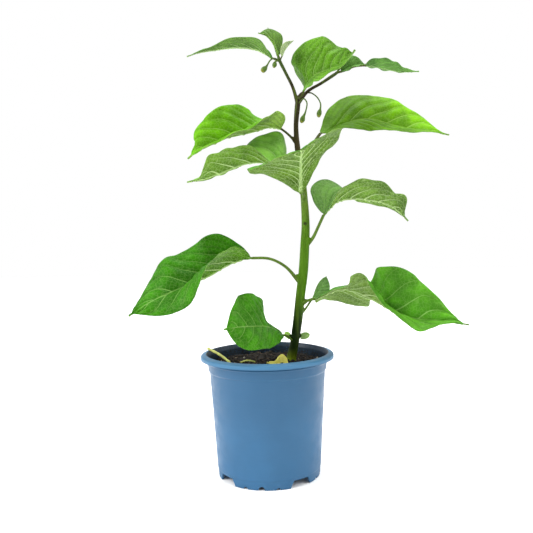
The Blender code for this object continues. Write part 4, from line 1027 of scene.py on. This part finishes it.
def make_stem():
    """Stem and branches fused into one skin, with a collar at each leaf's foot and the scars."""
    spine = smooth_curve([point for point, radius in STEM_PATH], 400)
    tubes = [(path, 160, 40) for path in (STEM_PATH, LEFT_BRANCH_PATH, RIGHT_BRANCH_PATH)]
    tubes += [(collar(leaf, spine), 14, 20) for leaf in LEAVES
              if leaf.name != "fallen_leaf" and leaf.stalk[0][2] <= COLLAR_TOP]
    tubes += [(scar(place, spine), 10, 20) for place, reach in SCARS]
    points = []
    faces = []
    for path, steps, sides in tubes:
        join_body(loft(tube(path, steps, sides)), points, faces)
    rough = add_mesh("stem_rough", points, faces, [])
    fuse = rough.modifiers.new("fuse", "REMESH")
    fuse.mode = "VOXEL"
    fuse.voxel_size = STEM_VOXEL
    soften = rough.modifiers.new("soften", "SMOOTH")
    soften.factor = 0.5
    soften.iterations = STEM_SMOOTHING
    mesh = with_modifiers(rough)
    bpy.data.objects.remove(rough, do_unlink=True)
    mesh.materials.clear()
    mesh.materials.append(stem_material())
    mesh.shade_smooth()
    return settle(add_object("stem_skin", mesh, POT_AXIS), "stem", "main_stem")


def bud_form(at, turn):
    """Five ribs on the bud's swollen end, and a wider tip."""
    grown = smooth_step(0.55, 0.72, at)
    return 1.0 + 0.10 * grown * np.cos(5 * turn) + 0.10 * smooth_step(0.93, 0.99, at)


def dry_form(at, turn):
    """A shrivelled, flattened stalk."""
    return 1.0 + 0.18 * np.cos(2 * turn + 1.0) + 0.12 * np.sin(30.0 * at)


def make_buds():
    """Buds on their stalks, and the dry stalks on the soil."""
    skin = bud_material()
    dry = withered_material("dry_stalk_look", (214, 220, 116))
    for name, path in TUBES.items():
        bud = name.startswith("flower_bud")
        rings = tube(path, BUD_STEPS, BUD_SIDES, bud_form if bud else dry_form)
        along = np.concatenate([np.repeat(np.linspace(0.0, 1.0, BUD_STEPS), BUD_SIDES), (0.0, 1.0)])
        item = add_mesh(name + "_look", *loft(rings), [skin if bud else dry], {"along": along})
        settle(item, "bud" if bud else "withered", name)


def rounded(profile, radius, steps):
    """The profile with each inner corner drawn as a small curve."""
    points = [np.array(profile[0], float)]
    for before, corner, after in zip(profile, profile[1:], profile[2:]):
        before, corner, after = (np.array(p, float) for p in (before, corner, after))
        back = before - corner
        ahead = after - corner
        start = corner + back * min(radius / np.linalg.norm(back), 0.45)
        stop = corner + ahead * min(radius / np.linalg.norm(ahead), 0.45)
        for s in np.linspace(0.0, 1.0, steps):
            points.append((1 - s)**2 * start + 2 * s * (1 - s) * corner + s**2 * stop)
    points.append(np.array(profile[-1], float))
    return points


def pot_profile():
    """Half section of the pot, from the axis over the floor and rim to the foot and back."""
    inner = -POT_WALL
    floor = FOOT_HEIGHT + FLOOR_THICKNESS
    step_radius = FOOT_RADIUS + 0.0009
    skirt_radius = FOOT_RADIUS - 0.0018
    under_lip = RIM_HEIGHT - 0.0019 - LIP_DROP
    return (
        (0.0, floor),
        (step_radius + inner, floor),
        (TAPER_TOP_RADIUS + inner, SHOULDER_HEIGHT - 0.0003),
        (BAND_RADIUS + inner, SHOULDER_HEIGHT + 0.0012),
        (BAND_TOP_RADIUS + inner, RIM_HEIGHT - 0.0040),
        (RIM_INNER_RADIUS - 0.0002, RIM_HEIGHT - 0.0006),
        (RIM_INNER_RADIUS + 0.0006, RIM_HEIGHT),
        (LIP_RADIUS - 0.0011, RIM_HEIGHT - 0.0010),
        (LIP_RADIUS - 0.0001, RIM_HEIGHT - 0.0019),
        (LIP_RADIUS, under_lip),
        (LIP_RADIUS - 0.0012, under_lip),
        (LIP_RADIUS - 0.0014, RIM_HEIGHT - 0.0026),
        (BAND_TOP_RADIUS, RIM_HEIGHT - 0.0026),
        (BAND_TOP_RADIUS - 0.0001, under_lip - 0.0012),
        (BAND_TOP_RADIUS + 0.0004, under_lip - 0.0017),
        (BAND_TOP_RADIUS + 0.0003, under_lip - 0.0024),
        (BAND_TOP_RADIUS - 0.0002, under_lip - 0.0029),
        (BAND_RADIUS, SHOULDER_HEIGHT + 0.0010),
        (TAPER_TOP_RADIUS, SHOULDER_HEIGHT - 0.0005),
        (step_radius, FOOT_HEIGHT + 0.0012),
        (step_radius - 0.0004, FOOT_HEIGHT + 0.0004),
        (FOOT_RADIUS, 0.0),
        (skirt_radius, 0.0),
        (skirt_radius, FOOT_HEIGHT),
        (0.0, FOOT_HEIGHT),
    )


def turn_profile(profile, segments):
    """Points and faces of a half section turned about the Z axis; its ends lie on the axis."""
    points = [(0.0, 0.0, profile[0][1])]
    faces = []
    ring = len(profile) - 2
    for k in range(segments):
        turn = 2 * math.pi * k / segments
        points += [(r * math.cos(turn), r * math.sin(turn), z) for r, z in profile[1:-1]]
    points.append((0.0, 0.0, profile[-1][1]))
    for k in range(segments):
        a = 1 + k * ring
        b = 1 + (k + 1) % segments * ring
        faces.append((0, a, b))
        faces += [(a + i, a + i + 1, b + i + 1, b + i) for i in range(ring - 1)]
        faces.append((len(points) - 1, b + ring - 1, a + ring - 1))
    return points, faces


def extruded(bottom, top):
    """Points and faces of a body between two outlines with as many points each."""
    count = len(bottom)
    faces = [tuple(reversed(range(count))), tuple(range(count, 2 * count))]
    faces += [(i, (i + 1) % count, count + (i + 1) % count, count + i) for i in range(count)]
    return [*bottom, *top], faces


def skirt_cutter(outline, turn):
    """A body that cuts its outline, given across and up, through the pot's skirt at that angle."""
    radial = np.array((math.cos(turn), math.sin(turn), 0.0))
    tangent = np.array((-math.sin(turn), math.cos(turn), 0.0))
    return extruded(*([radial * r + tangent * x + np.array((0.0, 0.0, z)) for x, z in outline]
                      for r in (FOOT_RADIUS - CUT_DEPTH / 2, FOOT_RADIUS + CUT_DEPTH / 2)))


def notch_outline():
    """Outline of a notch between two feet, wider at the floor and rounded above."""
    half = NOTCH_TOP_WIDTH / 2
    splay = (NOTCH_FOOT_WIDTH - NOTCH_TOP_WIDTH) / 2
    low = half + splay * (1.0 + CUT_MARGIN / NOTCH_HEIGHT)
    arc = [(NOTCH_CORNER * (1 - math.cos(a)), NOTCH_HEIGHT - NOTCH_CORNER * (1 - math.sin(a)))
           for a in np.linspace(0.3, math.pi / 2, 4)]
    return ([(-low, -CUT_MARGIN), (low, -CUT_MARGIN), (half, NOTCH_HEIGHT - NOTCH_CORNER)]
            + [(half - x, z) for x, z in arc] + [(-half + x, z) for x, z in reversed(arc)]
            + [(-half, NOTCH_HEIGHT - NOTCH_CORNER)])


def arch_outline(width, height):
    return [(width / 2 * math.cos(a), height * math.sin(a)) for a in np.linspace(0, 2 * math.pi, 28)[:-1]]


def drain_cutter(turn):
    x = DRAIN_RING_RADIUS * math.cos(turn)
    y = DRAIN_RING_RADIUS * math.sin(turn)
    return extruded(*([(x + DRAIN_HOLE_RADIUS * math.cos(a), y + DRAIN_HOLE_RADIUS * math.sin(a), z)
                       for a in np.linspace(0, 2 * math.pi, 37)[:-1]]
                      for z in (FOOT_HEIGHT - 0.004, FOOT_HEIGHT + 0.004)))


def pot_cutters():
    """Notches between the feet, the arches in each foot's edge and the drain holes, as one mesh."""
    points = []
    faces = []
    pitch = 2 * math.pi / FOOT_COUNT
    for foot in range(FOOT_COUNT):
        middle = -math.pi / 2 + FRONT_FOOT_ANGLE + foot * pitch
        join_body(skirt_cutter(notch_outline(), middle + pitch / 2), points, faces)
        for i, (width, height) in enumerate(zip(ARCH_WIDTHS, ARCH_HEIGHTS)):
            turn = middle + (i - 1) * ARCH_SPACING
            join_body(skirt_cutter(arch_outline(width, height), turn), points, faces)
        join_body(drain_cutter(middle), points, faces)
    return points, faces


def inside_pot(look, height):
    """1 on the pot's inner wall above the soil, and 0 on its outside."""
    squares = look.plus(look.maths("POWER", look.part("X"), 2.0), look.maths("POWER", look.part("Y"), 2.0))
    spread = look.times(look.minus(height, SHOULDER_HEIGHT + 0.001), BAND_SLOPE)
    spread = look.plus(spread, look.span(height, RIM_HEIGHT - 0.004, RIM_HEIGHT, 0.0, 0.0016))
    inside = look.span(look.minus(look.maths("SQRT", squares), spread), BAND_RADIUS - POT_WALL * 0.75,
                       BAND_RADIUS - POT_WALL * 0.35, 1.0, 0.0)
    return look.times(inside, look.span(height, 0.094, 0.097))


def pot_material():
    """Matt blue plastic with faint rings from the mould, scuffs, and soil dust inside the mouth; painted
    light on the lower body and the lip, and painted shade on the inner wall.
    """
    look = Nodes("pot_plastic_look", 0.42, Specular_IOR_Level=0.22)
    height = look.part("Z")
    base = seen(62, 117, 161)
    # Painted light: the body is lighter towards the foot
    colour = look.mix(look.span(height, 0.0, 0.095), scaled(base, 1.36), base)
    colour = look.mix(look.span(look.noise(28.0, 3.0), 0.35, 0.65, 0.0, 0.30), colour, scaled(base, 0.86))
    rings = look.noise(14.0, 4.0, stretch=(0.6, 0.6, 22.0))
    colour = look.mix(look.span(rings, 0.45, 0.75, 0.0, 0.10), colour, scaled(base, 1.35, 0.08))
    scuffs = look.noise(60.0, 5.0, 0.7, stretch=(1.0, 1.0, 2.0))
    colour = look.mix(look.span(scuffs, 0.60, 0.76, 0.0, 0.22), colour, scaled(base, 1.45, 0.12))
    # Painted highlight: the lip's top and outer face are lighter
    colour = look.mix(look.span(height, 0.1050, 0.1065, 0.0, 0.8), colour, scaled(base, 1.75, 0.12))
    specks = look.span(look.noise(900.0, 2.0), 0.66, 0.74, 0.0, 0.20)
    colour = look.mix(specks, colour, scaled(base, 0.6))
    inside = inside_pot(look, height)
    # Painted shade: the inner wall above the soil is darkened
    colour = look.mix(inside, colour, scaled(base, 0.22))
    low = look.span(height, 0.099, 0.108, 0.62, 0.40)
    dust = look.span(look.plus(look.noise(520.0, 4.0, 0.7), look.times(low, 0.5)), 0.74, 0.84, 0.0, 0.92)
    colour = look.mix(look.times(inside, dust), colour, seen(20, 18, 16))
    light = look.span(look.noise(700.0, 2.0), 0.64, 0.70, 0.0, 0.5)
    colour = look.mix(look.times(inside, light), colour, scaled(base, 1.1))
    look.bump(look.plus(look.times(rings, 0.6), look.times(look.noise(1600.0, 2.0), 0.25)), 0.25, 0.0003)
    return look.finish(colour, look.span(look.noise(90.0, 4.0), 0.3, 0.7, 0.36, 0.52))


def make_pot():
    """The pot's moulding, turned from its half section, with its notches and holes cut."""
    points, faces = turn_profile(rounded(pot_profile(), 0.0005, 4), POT_SEGMENTS)
    pot = add_mesh("pot_shell", points, faces, [pot_material()])
    cutters = add_mesh("pot_cutters", *pot_cutters(), [])
    cut = pot.modifiers.new("cut", "BOOLEAN")
    cut.operation = "DIFFERENCE"
    cut.object = cutters
    cut.solver = "EXACT"
    pot_mesh = with_modifiers(pot)
    bpy.data.objects.remove(cutters, do_unlink=True)
    pot.modifiers.clear()
    pot.data = pot_mesh
    pot_mesh.shade_smooth()
    pot_mesh.set_sharp_from_angle(angle=math.radians(40.0))
    settle(pot, "pot", "pot")


def soil_height(x, y):
    """Height of the soil's crumbly, slightly mounded top."""
    radius = math.hypot(x, y) / BAND_RADIUS
    mound = SOIL_MOUND * (1.0 - radius * radius)
    bumps = (noise.noise(Vector((x * 90.0, y * 90.0, 3.7)))
             + 0.5 * noise.noise(Vector((x * 210.0, y * 210.0, 8.1))))
    return SOIL_HEIGHT + mound + SOIL_BUMP * bumps


def soil_material(name, tone):
    """Dark peat with brown patches and pale specks."""
    look = Nodes(name, 0.95, Specular_IOR_Level=0.25)
    base = seen(*tone)
    colour = look.mix(look.span(look.noise(320.0, 5.0, 0.7), 0.35, 0.65), scaled(base, 0.5),
                      scaled(base, 1.5, 0.05))
    colour = look.mix(look.span(look.noise(130.0, 3.0), 0.55, 0.75, 0.0, 0.5), colour, seen(64, 54, 40))
    colour = look.mix(look.span(look.noise(1400.0, 2.0), 0.66, 0.74, 0.0, 0.5), colour,
                      seen(122, 112, 98))
    look.bump(look.noise(1100.0, 5.0, 0.7), 0.9, 0.0010)
    return look.finish(colour, look.span(look.noise(400.0), 0.3, 0.7, 0.8, 1.0))


def pale_material(name, tone, dark):
    look = Nodes(name, 0.85)
    colour = look.mix(look.span(look.noise(700.0, 4.0), 0.35, 0.65), seen(*dark), seen(*tone))
    look.bump(look.noise(2000.0, 3.0), 0.6, 0.0004)
    return look.finish(colour)


def lump_template():
    shape = bmesh.new()
    bmesh.ops.create_icosphere(shape, subdivisions=2, radius=1.0)
    points = np.array([tuple(v.co) for v in shape.verts])
    faces = [tuple(v.index for v in face.verts) for face in shape.faces]
    shape.free()
    return points, faces


def strewn_place(draws, spread):
    """Radius and angle of a random place on the soil."""
    return SOIL_TOP_RADIUS * math.sqrt(draws.random()) * spread, draws.uniform(0.0, 2 * math.pi)


def scattered_lumps(name, count, sizes, sink, material, draws):
    """Irregular lumps strewn over the soil's top, joined into one mesh."""
    template, skin = lump_template()
    points = []
    faces = []
    for number in range(count):
        reach, turn = strewn_place(draws, 0.99)
        size = sizes[0] + (sizes[1] - sizes[0]) * draws.random()**3
        reach = min(reach, SOIL_TOP_RADIUS - size)
        x = reach * math.cos(turn)
        y = reach * math.sin(turn)
        spin = Matrix.Rotation(draws.uniform(0, 6.28), 3, Vector(draws.normal(size=3)).normalized())
        stretch = draws.uniform(0.6, 1.2, 3)
        shape = template * (1.0 + draws.uniform(-0.22, 0.22, (len(template), 1))) * stretch * size
        middle = np.array((x, y, soil_height(x, y) + size * sink))
        join_body((shape @ np.array(spin) + middle, skin), points, faces)
    return settle(add_mesh(name, points, faces, [material]), "soil")


def fibre_path(draws):
    """Centre line of a thin bent fibre lying on the soil, with the radius there."""
    reach, turn = strewn_place(draws, 0.9)
    x = reach * math.cos(turn)
    y = reach * math.sin(turn)
    heading = draws.uniform(0.0, 2 * math.pi)
    length = draws.uniform(0.003, 0.010)
    path = []
    for k in range(5):
        path.append(((x, y, soil_height(x, y) + 0.0006 + draws.uniform(-0.0003, 0.0008)),
                     draws.uniform(0.00012, 0.00022)))
        heading += draws.uniform(-0.6, 0.6)
        x += length / 4 * math.cos(heading)
        y += length / 4 * math.sin(heading)
        shrink = min(1.0, (SOIL_TOP_RADIUS - 0.001) / math.hypot(x, y))
        x *= shrink
        y *= shrink
    return path


def strewn_fibres(draws, material):
    """Thin bent fibres lying on the soil, joined into one mesh."""
    points = []
    faces = []
    for number in range(FIBRE_COUNT):
        join_body(loft(tube(fibre_path(draws), 9, 6)), points, faces)
    return settle(add_mesh("soil_fibres", points, faces, [material]), "soil")


def make_soil():
    """Soil plug with a crumbly top, and what lies on it."""
    clear = POT_WALL + 0.0003
    floor = FOOT_HEIGHT + FLOOR_THICKNESS + 0.0003
    sides = (
        (FOOT_RADIUS + 0.0009 - clear, floor),
        (TAPER_TOP_RADIUS - clear - 0.0001, SHOULDER_HEIGHT - 0.0003),
        (BAND_RADIUS - clear, SHOULDER_HEIGHT + 0.0015),
    )
    turns = np.linspace(0.0, 2 * math.pi, SOIL_SECTORS, endpoint=False)
    rings = [np.stack([r * np.cos(turns), r * np.sin(turns), np.full_like(turns, z)], axis=1)
             for r, z in sides]
    for ring in range(SOIL_RINGS):
        r = SOIL_TOP_RADIUS * (1.0 - ring / SOIL_RINGS)
        flat = [(r * math.cos(a), r * math.sin(a)) for a in turns]
        edge = smooth_step(0.0, 0.08, ring / SOIL_RINGS)
        rings.append(np.array([
            (x, y, soil_height(x, y) + edge * CRUMB_RELIEF * (
                abs(noise.noise(Vector((x * 420.0, y * 420.0, 2.0))))
                + 0.7 * noise.noise(Vector((x * 900.0, y * 900.0, 5.0))))) for x, y in flat]))
    points, faces = loft(rings)
    bed = add_mesh("soil_bed", points, faces, [soil_material("peat_look", (33, 29, 24))])
    settle(bed, "soil", "soil")
    draws = np.random.default_rng(41)
    scattered_lumps("soil_crumbs", CRUMB_COUNT, (0.0004, 0.0021), 0.25,
                    soil_material("crumb_look", (38, 33, 27)), draws)
    scattered_lumps("soil_perlite", PERLITE_COUNT, (0.0003, 0.0011), 0.7,
                    pale_material("perlite_look", (206, 200, 188), (150, 140, 124)), draws)
    strewn_fibres(draws, pale_material("fibre_look", (128, 98, 62), (74, 54, 36)))


def make_floor():
    shape = bmesh.new()
    bmesh.ops.create_grid(shape, x_segments=8, y_segments=8, size=FLOOR_HALF_SIZE)
    mesh = bpy.data.meshes.new("floor")
    shape.to_mesh(mesh)
    shape.free()
    floor = add_object("floor", mesh, (0.0, 0.0, -0.0001))
    look = Nodes("floor_look", 0.9, Specular_IOR_Level=0.1)
    white = look.mix(look.span(look.noise(3.0), 0.3, 0.7), (0.93, 0.93, 0.935, 1.0),
                     (0.95, 0.95, 0.95, 1.0))
    mesh.materials.append(look.finish(white))


def make_surroundings():
    """Pale floor, white surroundings, soft lights and the camera."""
    make_floor()
    world = bpy.data.worlds.new("white_studio")
    world.use_nodes = True
    backdrop = world.node_tree.nodes["Background"].inputs
    backdrop["Color"].default_value = (1.0, 1.0, 1.0, 1.0)
    backdrop["Strength"].default_value = WORLD_STRENGTH
    bpy.context.scene.world = world
    for name, place, size, watts in SOFT_LIGHTS:
        lamp = bpy.data.lights.new(name, "AREA")
        lamp.shape = "RECTANGLE"
        lamp.size, lamp.size_y = size
        lamp.energy = watts
        aim = Vector((0.0, 0.0, 0.2)) - Vector(place)
        add_object(name, lamp, place).rotation_euler = aim.to_track_quat("-Z", "Y").to_euler()

    lens = bpy.data.cameras.new("camera")
    lens.sensor_width = 36.0
    lens.lens = LENS
    eye = (EYE[0] + POT_X, EYE[1] + POT_Y, EYE[2])
    camera = add_object("camera", lens, eye)
    tilted = Matrix.Translation(eye) @ Matrix.Rotation(math.pi / 2 - TILT, 4, "X")
    camera.matrix_world = tilted @ Matrix.Rotation(ROLL, 4, "Z")
    bpy.context.scene.camera = camera
    bpy.context.scene.view_settings.view_transform = "Standard"


make_surroundings()
make_pot()
make_soil()
make_stem()
make_leaves()
make_buds()
